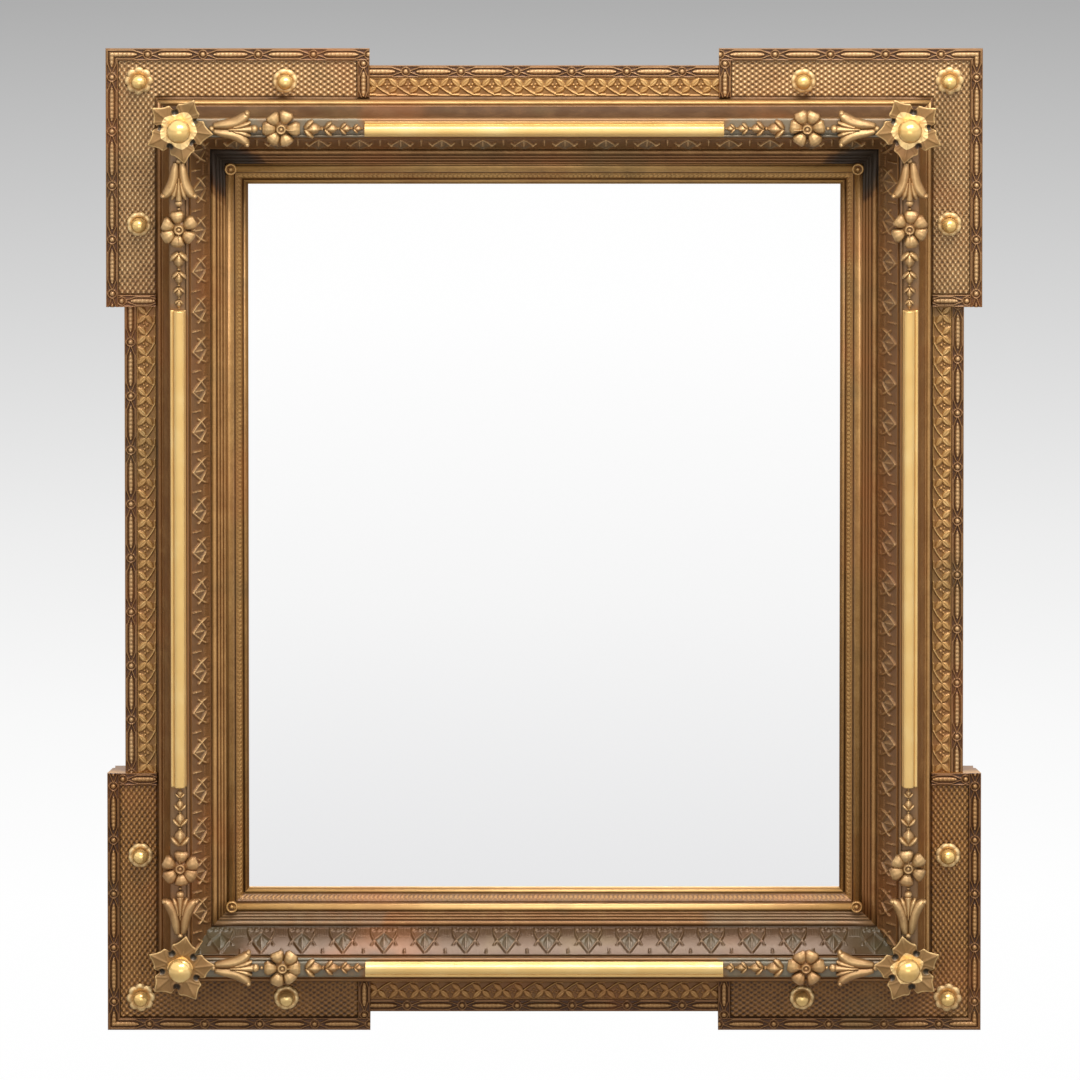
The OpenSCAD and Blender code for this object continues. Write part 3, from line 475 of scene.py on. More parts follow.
class Maker:
    """Short ways to add shader nodes to a material or to the world."""

    def __init__(self, owner, shader="Principled BSDF"):
        owner.use_nodes = True
        self.owner, self.nodes, self.links = owner, owner.node_tree.nodes, owner.node_tree.links
        self.shader = self.nodes[shader]
        self.place = self.node("TexCoord").outputs

    def put(self, socket, value):
        if isinstance(value, bpy.types.NodeSocket):
            self.links.new(value, socket)
        else:
            socket.default_value = value

    def node(self, kind, inputs=None, **settings):
        """Adds a node. inputs holds a value, or the output that feeds it, for each input it names."""
        node = self.nodes.new("ShaderNode" + kind)
        for name, value in settings.items():
            setattr(node, name, value)
        for name, value in (inputs or {}).items():
            self.put(node.inputs[name], value)
        return node

    def math(self, operation, a, b, clamp=False):
        return self.node("Math", {0: a, 1: b}, operation=operation, use_clamp=clamp).outputs[0]

    def plus(self, a, b, clamp=False):
        return self.math("ADD", a, b, clamp)

    def minus(self, a, b, clamp=False):
        return self.math("SUBTRACT", a, b, clamp)

    def times(self, a, b, clamp=False):
        return self.math("MULTIPLY", a, b, clamp)

    def swing(self, noise, amount):
        """The noise made to vary about 0, by up to half the amount."""
        return self.times(self.minus(noise, 0.5), amount)

    def noise(self, scale, detail=3.0, roughness=0.55, stretch=None):
        source = self.place["Object"]
        if stretch:
            source = self.node("Mapping", {"Vector": source, "Scale": stretch}).outputs["Vector"]
        inputs = {"Vector": source, "Scale": scale, "Detail": detail, "Roughness": roughness}
        return self.node("TexNoise", inputs).outputs["Fac"]

    def mix(self, factor, a, b):
        inputs = {"Factor": factor, "A": a, "B": b}
        return self.node("Mix", inputs, data_type="RGBA", clamp_factor=True).outputs["Result"]

    def ramp(self, factor, stops):
        """Colours between the stops, each a position and a colour."""
        node = self.node("ValToRGB", {"Fac": factor})
        elements = node.color_ramp.elements
        elements[0].position, elements[0].color = stops[0]
        elements[1].position, elements[1].color = stops[-1]
        for position, color in stops[1:-1]:
            elements.new(position).color = color
        return node.outputs["Color"]

    def step(self, value, low, high, start=0.0, end=1.0):
        """start below low, end above high and smooth between them."""
        inputs = {"Value": value, "From Min": low, "From Max": high, "To Min": start, "To Max": end}
        return self.node("MapRange", inputs, interpolation_type="SMOOTHSTEP").outputs["Result"]

    def attribute(self, name):
        return self.node("Attribute", attribute_name=name).outputs["Fac"]

    def axis(self, source, letter):
        """One number of the Normal, or of another output of the texture coordinates."""
        return self.node("SeparateXYZ", {0: self.place[source]}).outputs[letter]

    def bump(self, height, strength, distance):
        inputs = {"Height": height, "Strength": strength, "Distance": distance}
        self.set(Normal=self.node("Bump", inputs).outputs["Normal"])

    def set(self, **values):
        for name, value in values.items():
            self.put(self.shader.inputs[name.replace("_", " ")], value)

    def show(self, glow, factor, output):
        """Sends a mix of the shader and the glow to the output."""
        blend = self.node("MixShader", {0: factor, 1: self.shader.outputs[0], 2: glow.outputs[0]})
        self.links.new(blend.outputs[0], self.nodes[output].inputs["Surface"])


def finish(name):
    return Maker(bpy.data.materials.new(name))


def rgb(red, green, blue):
    """A colour as a picture editor shows it, from 0 to 255, as the shader's linear numbers."""
    values = [c / 255 for c in (red, green, blue)]
    return tuple(c / 12.92 if c <= 0.04045 else ((c + 0.055) / 1.055) ** 2.4 for c in values) + (1.0,)


BARE_WOOD = rgb(146, 112, 76)
BOLE = rgb(98, 44, 30)
FILM = rgb(126, 100, 74)
WARM = rgb(150, 90, 44)
OLIVE = rgb(104, 86, 50)
# Dark brown of the painted shade in the upper inner corners and in the leaves' sunk eyes
SHADE_BROWN = rgb(44, 34, 22)
DUST = (120, 114, 94)
BRIGHT_LEAF = (242, 206, 142)
GILT_METAL = 0.4
GILT_ROUGH = 0.4


def aged_gilding(name, deep, body, bright, film, worn, laid=DUST, laid_metal=0.0):
    """Old gilding: deep in the hollows and bright on the crowns, partly dirt and rubbed gold and partly
    painted shade in the hollows and painted highlights on the crowns. It is warmer and duller by patches,
    with red ground where it is rubbed through, a grey-brown film on what faces up and bare wood on the back.
    The tone lays dust in the corners, or another finish that is given. A relief below 0 is painted shade."""
    m = finish(name)
    fine, patch, broad = m.noise(420, 4), m.noise(46, 4, 0.6), m.noise(9, 3)
    relief = m.attribute("relief")
    level = m.plus(m.plus(relief, m.swing(patch, 0.4)), m.swing(fine, 0.3), clamp=True)
    # Painted shade and highlight: the relief darkens the hollows and brightens the crowns, besides dirt and
    # rubbed gold.
    color = m.ramp(level, [(0.0, rgb(*deep)), (0.35, rgb(*body)), (0.62, rgb(*body)), (1.0, rgb(*bright))])
    color = m.mix(m.times(m.step(broad, 0.5, 0.7), 0.35), color, WARM)
    color = m.mix(m.times(m.step(m.noise(14, 3), 0.54, 0.74), 0.35), color, OLIVE)
    rub = m.times(m.step(m.noise(85, 5, 0.65), 0.58, 0.72), m.step(relief, 0.2, 0.8))
    color = m.mix(m.times(rub, worn), color, BOLE)
    facing = m.step(m.axis("Normal", "Z"), 0.1, 0.85)
    settled = m.times(facing, m.plus(0.45, m.times(m.step(patch, 0.35, 0.65), 0.55)))
    settled = m.times(settled, m.minus(1.1, m.times(relief, 0.5)))
    settled = m.times(settled, film, clamp=True)
    color = m.mix(settled, color, FILM)
    tone = m.attribute("tone")
    if laid_metal:
        tone = m.step(m.plus(tone, m.swing(patch, 0.4)), 0.46, 0.54)
    else:
        tone = m.times(tone, m.plus(0.45, m.times(m.step(patch, 0.3, 0.6), 0.45)))
    color = m.mix(tone, color, rgb(*laid))
    # Painted shade: a relief below 0 turns dark brown and loses its shine.
    painted_shade = m.step(m.times(relief, -1.0), 0.05, 0.9)
    color = m.mix(m.times(painted_shade, 0.85), color, SHADE_BROWN)
    back = m.step(m.axis("Normal", "Y"), 0.7, 0.9)
    color = m.mix(back, color, BARE_WOOD)
    shown = m.times(m.minus(1.0, settled), m.minus(1.0, m.math("MAXIMUM", back, painted_shade)))
    shine = m.plus(GILT_METAL, m.times(tone, laid_metal - GILT_METAL))
    m.set(Base_Color=color, Metallic=m.times(shown, shine, clamp=True))
    m.set(Roughness=m.minus(GILT_ROUGH + 0.3, m.times(shown, 0.3), clamp=True))
    m.bump(m.plus(m.times(fine, 0.6), patch), 0.2, 0.0005)
    return m.owner


def burnished_gold(name, metal, rough, chipped):
    """Burnished leaf: bright and smooth, with faint lap lines, warm worn spots and a few white chips.
    The tone turns it brown, as in the rounds' grooves, where on the upright sides it is a painted shade."""
    m = finish(name)
    patch = m.noise(24, 3, 0.5)
    color = m.ramp(patch, [(0.3, rgb(228, 184, 110)), (0.55, rgb(234, 194, 122)), (0.8, rgb(242, 208, 142))])
    spot = m.noise(110, 5, 0.7)
    color = m.mix(m.times(m.step(spot, 0.68, 0.76), chipped), color, rgb(150, 86, 44))
    color = m.mix(m.step(m.noise(38, 5, 0.6), 0.745, 0.77), color, rgb(236, 226, 205))
    color = m.mix(m.attribute("tone"), color, rgb(140, 96, 48))
    m.set(Base_Color=color, Metallic=metal)
    m.set(Roughness=m.plus(rough, m.times(spot, 0.1)))
    m.bump(m.noise(90, 3), 0.04, 0.0004)
    return m.owner


# Each gilding: its colours in the hollows, on the body and on the crowns, how strong its film is and how
# far it is worn, and another finish laid by the tone with how metallic that is
# The colours in the hollows hold painted shade and those on the crowns painted highlights, besides dirt and
# rubbed gold.
GILDINGS = {
    "woven": ((78, 52, 27), (158, 120, 76), (244, 212, 158), 0.2, 0.4),
    "shaded_woven": ((58, 33, 11), (132, 90, 42), (206, 156, 90), 0.05, 0.4),
    "edging": ((80, 49, 25), (134, 95, 56), (190, 152, 104), 0.25, 0.4),
    "shaded_edging": ((68, 39, 17), (116, 77, 39), (168, 126, 76), 0.1, 0.4),
    "vine": ((130, 90, 44), (176, 132, 74), (242, 208, 144), 0.1, 0.2),
    "shaded_vine": ((108, 70, 30), (148, 103, 51), (204, 163, 100), 0.05, 0.2),
    "slope": ((124, 86, 48), (148, 104, 58), (226, 186, 128), 0.2, 0.2),
    # The bottom's copy of the slope is darker, a painted shade against the light from above, with grey dust
    # laid by the tone.
    "rubbed_slope": ((76, 52, 28), (80, 56, 33), (120, 92, 58), 0.1, 0.3, (80, 72, 50)),
    "moulding": ((76, 48, 22), (134, 92, 48), (192, 148, 90), 0.2, 0.25),
    "slip": ((96, 62, 28), (148, 106, 54), (204, 160, 96), 0.25, 0.2),
    "leaf": ((60, 50, 36), (142, 106, 60), (206, 168, 110), 0.2, 0.25, BRIGHT_LEAF, 0.5),
    "stud": ((110, 74, 40), (196, 156, 100), (240, 208, 150), 0.15, 0.3),
    "flower": ((78, 54, 30), (152, 114, 68), (204, 166, 112), 0.2, 0.35),
}
GILT = {name: aged_gilding(name + "_gilding", *values) for name, values in GILDINGS.items()}
GILT["burnished"] = burnished_gold("burnished_gold", 0.35, 0.18, 0.4)
GILT["ball"] = burnished_gold("burnished_ball_gold", 0.55, 0.14, 0.25)


# Boards, mouldings and slips


def ear_back(shape, corner):
    """The board's back part, drawn in along its two outer edges."""
    inset = BACK_REBATE_W
    a = np.array([inset, EAR_LEG, EAR_LEG, EAR_W, EAR_W, inset])
    b = np.array([inset, inset, EAR_W, EAR_W, EAR_LEG, EAR_LEG])
    rings = [in_corner(corner, HALF_W - a, HALF_H - b, h) for h in (0.0, BACK_REBATE_H)]
    low = np.arange(len(a))
    high = low + len(a)
    wall = np.stack([low, np.roll(low, -1), np.roll(high, -1), high], -1)
    shape.add(np.concatenate(rings), [(wall, False), (low[None, ::-1], False), (high[None], False)], 0.4)


def ear_board(shape, corner):
    """An L-shaped board whose front carries the woven net inside the edging, fine enough to hold it.
    Its outer sides slant inwards behind the front, down to the rebate along its back. The net is darker
    on the level legs at the bottom: painted shade under the deep moulding."""
    fine = np.linspace(EDGE_W, EAR_W, 61)
    rest = np.linspace(EAR_W, EAR_LEG - EDGE_W, 321)
    lines = np.concatenate([[0.0], fine, rest[1:], [EAR_LEG]])
    a, b = np.meshgrid(lines, lines, indexing="ij")
    along, across = np.maximum(a, b), np.minimum(a, b)
    netted = (across > EDGE_W - 0.1) & (along < EAR_LEG - EDGE_W + 0.1)
    fade = np.clip((across - EDGE_W) / 1.2, 0, 1) * np.clip((EAR_W - across) / 1.6, 0, 1)
    fade = fade * np.clip((EAR_LEG - EDGE_W - along) / 1.2, 0, 1)
    height = np.where(netted, EAR_T - NET_DEPTH + woven_net(along, across) * fade, EAR_T)
    top = in_corner(corner, HALF_W - a, HALF_H - b, height)
    n = len(lines)
    index = np.arange(n * n).reshape(n, n)
    used = across <= EAR_W + 0.01
    cells = used[:-1, :-1] & used[1:, 1:] & used[1:, :-1] & used[:-1, 1:]
    quads = grid_faces(index)[cells.ravel()]
    last, knee = n - 1, int(np.argmin(abs(lines - EAR_W)))
    corners = np.array([(0, 0), (last, 0), (last, knee), (knee, knee), (knee, last), (0, last)])
    walls = []
    for number, (start, end) in enumerate(zip(corners, np.roll(corners, -1, 0))):
        steps = abs(end - start).max() + 1
        path = index[tuple(np.linspace(start, end, steps).round().astype(int).T)]
        walls.append(np.concatenate([path[::-1], [n * n + number, n * n + (number + 1) % len(corners)]]))
    back_x, back_z = np.maximum(lines[corners], EDGE_SLANT).T
    base = in_corner(corner, HALF_W - back_x, HALF_H - back_z, BACK_REBATE_H)
    points = np.concatenate([top.reshape(-1, 3), base])
    keep = np.zeros(len(points), bool)
    keep[quads.ravel()] = True
    keep[n * n :] = True
    number = np.cumsum(keep) - 1
    # Painted shade: the net on the bottom boards' level legs is darker away from the corner, under the deep
    # moulding.
    shade = 1 - 0.4 * np.clip((a - 30) / 30, 0, 1) * (b <= EAR_W) * corner.startswith("bottom")
    relief = (np.clip((height - EAR_T + NET_DEPTH) / NET_DEPTH, 0, 1) * shade).ravel()
    relief = np.concatenate([relief, np.full(len(base), 0.4)])
    faces = [(number[quads], True), (number[n * n :][::-1][None], False)]
    faces += [(number[wall][None], False) for wall in walls]
    shape.add(points[keep], faces, relief[keep])
    ear_back(shape, corner)


def moulding_profile():
    """Closed section of the deep moulding, from the back of the slip side round over the crest."""
    seat_in = SEAT_OUT - 6.1
    bead_out = RAIL_OUT - 4.1
    side = RAIL_OUT - 0.1
    return joined([
        [[SLIP_W, MOULDING_BACK], [SLIP_W, FOOT_H - 1.2]],
        *[arc((STEP_OUT - 5.1 - 2 * REED_R * i, FOOT_H - 0.1), REED_R, 168, 14, 9) for i in (2, 1, 0)],
        arc((STEP_OUT - 0.4, FOOT_H), STEP_R, 165, 15, 12),
        bow(SLOPE_FOOT, SLOPE_TOP, SLOPE_SAG, 14),
        arc((SLOPE_TOP[0] + CREST_R, SEAT_H - CREST_R), CREST_R, 190, 20, 12),
        [[seat_in, SEAT_H - CREST_R], [seat_in, SEAT_H], [COVE_TOP[0], SEAT_H]],
        bow(COVE_TOP, COVE_FOOT, COVE_SAG, 16),
        arc((bead_out, COVE_FOOT[1]), 2.1, 175, -10, 12),
        [[bead_out + 2.1, LEDGE_H], [side, LEDGE_H], [side, MOULDING_BACK]],
    ])


def slip_profile():
    """Closed section of the slip: large bead, sloping face, sight bead and the rebate behind."""
    shoulder = SLIP_H - 1.6
    return joined([
        [[REBATE_W, MOULDING_BACK], [REBATE_W, PLATE_FRONT], [0.0, PLATE_FRONT], [0.0, LIP_FRONT - 0.4]],
        arc((3.4, LIP_FRONT - 0.1), 1.6, 200, -10, 12),
        [[6.2, LIP_FRONT + 1.2], [14.2, SLIP_H - 2.4]],
        arc((SLIP_BEAD_OUT, SLIP_H), SLIP_BEAD_R, 178, 0, 18),
        [[SLIP_BEAD_OUT + SLIP_BEAD_R + 0.1, shoulder], [SLIP_W, shoulder], [SLIP_W, MOULDING_BACK]],
    ])


def rail_board(shape, k):
    """A flat rail. Its outer side slants inwards behind the front, down to the rebate along its back."""
    edge = RAIL_EDGE_OUT
    back = edge - BACK_REBATE_W
    front = [[RAIL_OUT, 0.0], [RAIL_OUT, RAIL_T], [edge, RAIL_T]]
    rebate = [[edge - EDGE_SLANT, BACK_REBATE_H], [back, BACK_REBATE_H], [back, 0.0]]
    section = filled(np.array(front + rebate), 1.5)
    side_run(shape, k, section, rail_half(k), 0.45)


def deep_moulding(shape, k):
    """Dust lies on the seat round the drops' ornaments and on the crest, and at the bottom on the reeds too.
    A painted shadow lies in the two upper inner corners. The cove is painted brightest on the upright sides
    and darkest at the top, where its bead is painted brightest, and the reeds and the step are painted
    lighter or darker by side: painted light and shade for how the light falls on each side."""
    section = filled(moulding_profile(), 2.5)
    out, height = section.T
    seat = half_length(k, SEAT_OUT)
    clear = seat - DROP_END
    near = (seat - CORNER_SHADE_REACH) / seat
    shares = [-1, -(seat - CORNER_SHADE_REACH / 2) / seat, -near, -(clear + 3) / seat, -(clear - 5) / seat]
    shares = np.array(shares + [-s for s in shares[::-1]])
    on_top = height > SEAT_H - 2.2
    reeds = (out > SLIP_W + 0.5) & (out < SLOPE_FOOT[0] + 2.4) & (height > FOOT_H - 2.8)
    lying = np.maximum(on_top, 0.35 * reeds * (k == 0))
    dusty = np.where(np.abs(shares) < clear / seat, 0.1, 1.0) * [1.0, 0.3, 0.9, 0.3][k]
    upper = [0 * shares, shares, np.abs(shares), -shares][k]
    hollow = (out > SLIP_W) & (out < SLOPE_TOP[0])
    # Painted shadow in the two upper inner corners: the relief of the slope and the reeds is pushed below 0
    # there.
    corner_shade = np.clip((upper - near) / (1 - near), 0, 1)[:, None] * 3.0 * hollow
    cove = (out > COVE_TOP[0] + 0.3) & (out < COVE_FOOT[0] - 0.4) & (height < SEAT_H - 2)
    bead = (out >= COVE_FOOT[0] - 0.4) & (out < RAIL_OUT - 1.9) & (height > COVE_FOOT[1] - 7)
    step = (out > STEP_OUT - 2.6) & (out < STEP_OUT + 2.4) & (height > FOOT_H + 0.6)
    relief = exposure(section)
    # Painted light and shade by side: the reeds, cove, bead and step are made lighter or darker on each side
    # for how the light falls there.
    relief = np.where(out < SLOPE_FOOT[0] + 3.4, relief * [0.65, 0.5, 0.35, 0.8][k], relief)
    relief = np.where(cove, [0.4, 0.65, 0.0, 0.65][k], relief)
    relief = np.where(bead, [0.5, 0.9, 1.0, 0.6][k], relief)
    relief = np.where(step, [0.6, 0.75, 0.7, 0.9][k], relief)
    relief = np.where((out > RAIL_OUT - 2.2) & (height < LEDGE_H + 1.4), 0.15, relief)
    relief = np.where(on_top, relief * 0.5, relief) - np.clip(corner_shade, 0, 1.8)
    side_run(shape, k, section, half_length(k, out), relief, shares, lying * dusty[:, None])


def tongue_row(shape, k):
    """A row of small tongues and dots pressed into the slip's sloping face, with a fine line above them."""
    low, high = np.array([6.4, LIP_FRONT + 1.3]), np.array([13.4, SLIP_H - 3.0])
    half = half_length(k, 6.0)
    along = np.linspace(-half, half, int(2 * half / 0.8))
    x, v = np.meshgrid(along, np.linspace(0, 1, 11) * np.linalg.norm(high - low), indexing="ij")
    c = fold(x, TONGUE_PITCH)
    tongue = 0.85 * ridge(np.hypot(c / 1.7, (v - 4.0) / 2.4), 1.0)
    tongue = tongue - 0.5 * ridge(np.hypot(c / 0.8, (v - 4.2) / 1.2), 1.0)
    dot = 0.8 * ridge(np.hypot(fold(x + 2.3, TONGUE_PITCH), v - 6.6), 1.0)
    line = 0.5 * ridge(v - 9.4, 0.8)
    rise = np.maximum.reduce([tongue, dot, line]) * (v > 0.3) * (v < v.max() - 0.2)
    lean = (high - low) / np.linalg.norm(high - low)
    normal = np.array([-lean[1], lean[0]])
    out = low[0] + v * lean[0] + (0.15 + rise) * normal[0]
    height = low[1] + v * lean[1] + (0.15 + rise) * normal[1]
    squeeze = half_length(k, low[0] + v * lean[0]) / half
    top = on_side(k, x * squeeze, out, height)
    under = np.array([low - 0.4 * normal, high - 0.4 * normal])
    ends = [on_side(k, s * half_length(k, under[:, 0]), under[:, 0], under[:, 1]) for s in (-1, 1)]
    # Painted light and shade by side: the row is lighter at the top and darker at the bottom, for how the
    # light falls.
    painted_side_light = [-0.1, 0.4, 0.7, 0.35][k]
    relief_slab(shape, top, *ends, np.clip(painted_side_light + 0.8 * rise, 0, 1))


def slip(shape, k):
    section = filled(slip_profile(), 2.0)
    # Painted shade: the upright sides are darker, which dulls their bead's highlight.
    side_run(shape, k, section, half_length(k, section[:, 0]), exposure(section) - [0.0, 0.3, 0.0, 0.3][k])
    tongue_row(shape, k)


def gilt_round(shape, k):
    """A full, flattened round with a strip along its inner edge and, outside it, a fine groove and a narrow
    fillet, all under one coat of gold leaf. The strip and the groove are darker on the upright sides, the
    groove's darkness a painted shade, and the groove and the fillet are darker at the top."""
    low = SEAT_H + 1.0
    fillet = SEAT_H + 1.5
    turn = arc((0.0, 0.0), 1.0, 180, 0, 41)
    crown = np.sign(turn) * np.abs(turn) ** 0.68 * [5.4, ROUND_R + 1.0] + [71.9, low]
    inner = [[64.8, SEAT_H - 0.4], [64.8, SEAT_H + 0.6], [66.2, low]]
    beside = [[78.1, low], [78.3, fillet], [80.4, fillet], [80.9, fillet - 0.5], [80.9, SEAT_H]]
    section = filled(np.concatenate([inner, crown, beside]), 0.7)
    section[:, 0] += [0.9, 0.0, -1.6, 0.0][k]
    out, height = section.T
    strip = (out < 67.0) & (height < low + 0.8)
    channel = (out > 77.2) & (out < 78.25) & (height < fillet)
    # Painted shade in the groove on the upright sides; the strip there, and the groove and fillet at the top,
    # are darker too.
    dark = (0.3 * channel + 0.6 * strip) * (k in (1, 3)) + 0.6 * (out > 76.7) * (k == 2)
    shares = [-1, -0.996, -0.99, 0, 0.99, 0.996, 1]
    side_run(shape, k, section, half_length(k, SEAT_OUT) - DROP_END - 1.0, 0.8, shares, dark)


# Pressed ornament laid on the boards


def flat_strip(shape, place, ends, width, height_of, low, ground, step=EDGE_STEP, mitre=0):
    """A strip of relief between two ends, with its back at low and its ground above that. step is the size
    of its cells, and a mitre of 1 slants its start."""
    v = np.linspace(0, width, max(2, int(round(width / step[1])) + 1))
    share = np.linspace(0, 1, int(round((ends[1] - ends[0]) / step[0])) + 1)
    start, end = ends[0] + mitre * v, ends[1] + 0 * v
    x = start[None] + share[:, None] * (end - start)[None]
    vv = np.broadcast_to(v, x.shape)
    rise = height_of(x, vv)
    under = [place(e[[0, -1]], np.array([0, width]), low) for e in (start, end)]
    relief_slab(shape, place(x, vv, low + ground + rise), *under, np.clip(rise / 2.6, 0, 1))


def edging_height(first, pitch=EDGING_PITCH, spindle=18.0):
    """Edging with its beads counted from first, and a low list along each side."""

    def height(x, v):
        rise = spindle_edging(x - first, v - EDGE_W / 2, pitch, spindle)
        lists = 1.5 * ridge(np.minimum(v, EDGE_W - v) - 0.6, 0.8)
        return np.maximum(rise, lists)

    return height


def ear_edging(shape, corner):
    """Edging along a board's two outer sides, mitred at the corner, and across the ends of its legs."""
    flat = corner_place(corner, HALF_W, HALF_H, 0.0, -1, -1)
    upright = corner_place(corner, HALF_W, HALF_H, 0.0, -1, -1, True)
    for place, first in ((flat, 43.7), (upright, 30.6)):
        flat_strip(shape, place, (0, EAR_LEG), EDGE_W, edging_height(first), EAR_T, EDGING_GROUND, mitre=1)
    short = edging_height(EDGE_W + 3.4, 44.0, 13.0)
    flat_end = corner_place(corner, HALF_W - EAR_LEG, HALF_H, 0.0, 1, -1, True)
    upright_end = corner_place(corner, HALF_W, HALF_H - EAR_LEG, 0.0, -1, 1)
    for place in (flat_end, upright_end):
        flat_strip(shape, place, (EDGE_W, EAR_W), EDGE_W, short, EAR_T, EDGING_GROUND)


def rail_edging(shape, k):
    """Edging along a rail's outer edge. Its first bead stands a third of a pitch before the rail."""
    ends = (-rail_half(k), rail_half(k))
    height = edging_height(ends[0] - EDGING_PITCH / 3)
    flat_strip(shape, side_place(k, RAIL_EDGE_OUT, -1), ends, EDGE_W, height, RAIL_T, EDGING_GROUND)


def vine_band(shape, k):
    """The vine inside a rail's edging. Its leaves turn the other way at the top and on the left."""
    ends = (-rail_half(k), rail_half(k))

    def height(x, v):
        return vine_trellis(x, v, -1 if k in (2, 3) else 1)

    flat_strip(shape, side_place(k, RAIL_OUT + 0.4), ends, VINE_W, height, RAIL_T, VINE_GROUND, (0.7, 0.6))


def slope_ornament(shape, k):
    """The lozenge row on the inner slope. Its rows follow the slope's hollow and its ends follow the mitres.
    On the upright sides it leans a little, and everywhere but at the bottom it is worn lower towards the foot
    and painted darker there, a painted shade in the hollow by the step."""
    run = np.linalg.norm(SLOPE_TOP - SLOPE_FOOT)
    along = (SLOPE_FOOT - SLOPE_TOP) / run
    normal = np.array([along[1], -along[0]])
    normal = normal * np.sign(normal[1])
    t = np.linspace(0, BAND_W, 59)
    share = (t + BAND_TOP) / run
    hollow = SLOPE_SAG * 4 * share * (1 - share)
    section = SLOPE_TOP + along * (share * run)[:, None] - normal * hollow[:, None]
    half = half_length(k, section[:, 0])
    x = np.linspace(-1, 1, int(2 * half.max() / 0.95))[:, None] * half[None]
    tt = np.broadcast_to(t, x.shape)
    lean = 0.11 * [0, 1, 0, -1][k] * (section[:, 1] - section[:, 1].mean())
    taller = [1.0, 1.0, 1.3, 1.0][k]
    rise, inside = lozenge_row(x - LOZENGE_START[k] - lean, tt / taller, 12.0 if k == 0 else 27.0)
    rise = rise * (1 - 0.5 * np.clip((tt - 36) / 6, 0, 1) * (k != 0))
    lists = 0.9 * ridge(np.minimum(tt, BAND_W - tt) - 0.6, 0.9)
    rise = BAND_GROUND + np.maximum(rise, lists)
    out = section[None, :, 0] + rise * normal[0]
    height = section[None, :, 1] + rise * normal[1]
    ends = [on_side(k, s * half, section[:, 0], section[:, 1]) for s in (-1, 1)]
    relief = np.clip((rise - BAND_GROUND) / 1.9, 0, [0.75, 0.75, 1.0, 1.0][k])
    # Painted shade: darker towards the foot on every side but the bottom.
    relief = relief * (1 - 0.6 * np.clip((tt - 34) / 7, 0, 1) * (k != 0))
    near_end = np.clip(1 - (half[None] - np.abs(x)) / 70, 0, 1)
    dust = np.clip(inside * (1 - 0.4 * relief) * [0.7, 0.25, 0.5, 0.3][k] + near_end * (k == 0), 0, 1)
    relief_slab(shape, on_side(k, x, out, height), *ends, relief, dust)


# Ornament on the seat

# The directions of a leaf's lobes, in degrees from the side towards the top, and its outline: the
# radius by the angle off a lobe's middle
LEAF_LOBES = np.array([40.5, 117.0, 187.0, 260.0, 334.0])
LEAF_OFF = [0, 4, 8, 13, 18, 23, 27, 29, 31, 34, 36]
LEAF_R = [36.4, 33.6, 31.2, 29.2, 28.0, 27.9, 27.4, 25.6, 23.4, 21.6, 21.0]
LEAF_EYE = 19.4
LEAF_BASE = SEAT_H + 9.2

# The bright gold left round each ball: its radius, and how far its points reach beyond it
LEAF_STARS = {
    "top_left": (18.6, 1.6),
    "top_right": (18.6, 1.8),
    "bottom_left": (13.0, 0.8),
    "bottom_right": (16.0, 2.2),
}


def vine_leaf(star, rings=24, around=260):
    """A five-lobed vine leaf in polar form. Each lobe is flat with a faint fold along its middle, has a
    faint vein to each side tooth and bends down at its tip, and a sunk eye lies in each notch. Returns
    points, relief and the bright star."""
    angle = np.degrees(np.linspace(0, 2 * np.pi, around, endpoint=False))
    number = np.searchsorted(LEAF_LOBES, angle, side="right") - 1
    low = np.where(number < 0, LEAF_LOBES[-1] - 360, LEAF_LOBES[number])
    high = np.where(number == 4, LEAF_LOBES[0] + 360, LEAF_LOBES[(number + 1) % 5])
    part = (angle - low) / (high - low)
    off = 72 * np.minimum(part, 1 - part)
    share = np.linspace(0.22, 1, rings)[:, None]
    r = share * np.interp(off, LEAF_OFF, LEAF_R)
    lateral = r * np.sin(np.radians(off))
    eye = np.hypot(r - LEAF_EYE, r * np.radians(36 - off))
    vein = to_line(r * np.cos(np.radians(off)), lateral, (14.0, 0.5), (24.4, 11.2))
    height = 3.0 * (r / 36) ** 1.4 - 0.10 * lateral * share + 0.45 * soft_line(lateral, 1.2) * (r > 15)
    height = height + 0.35 * soft_line(vein, 1.0)
    height = height - 2.2 * np.clip((r - 28) / 8, 0, 1) ** 2 + 0.7 * soft_line(eye - 4.0, 0.8)
    height = height - 2.6 * soft_line(eye, 2.6)
    # The fold, the veins and the rim are brighter as painted highlights, and each sunk eye goes below 0 as
    # painted shade.
    relief = 0.5 + 0.15 * soft_line(lateral, 1.0) + 0.12 * soft_line(vein, 0.9) + 0.45 * (share > 0.95)
    relief = np.clip(relief - 1.4 * soft_line(eye, 3.0), -0.6, 1)
    turn = np.radians(angle)
    reach = star[0] + star[1] * (1 - off / 18) + 0.5 * star[1] * np.cos(3 * turn + star[0])
    points = np.stack([r * np.cos(turn), r * np.sin(turn), height], -1)
    return points, relief, np.clip(0.5 + (reach - r) / 4, 0, 1)


def corner_leaf(shape, corner):
    """The leaf with a plain back, standing on a short round foot."""
    face, relief, star = vine_leaf(LEAF_STARS[corner])
    under = face[::-1].copy()
    under[..., 2] -= 2.0
    rings = np.concatenate([face, under])
    relief = np.concatenate([relief, 0 * relief + 0.2])
    star = np.concatenate([star, 0 * star])
    place = corner_place(corner, SEAT_X, SEAT_Z, LEAF_BASE)
    disc_solid(shape, placed(rings, place), place(0, 0, 0.1), place(0, 0, -1.9), relief, star)
    foot = [(ROUND_R - 1, 8.2), (ROUND_R, 7.4), (ROUND_R, 0.0)]
    add_turned(shape, foot, corner_place(corner, SEAT_X, SEAT_Z, SEAT_H), 0.3, 24)


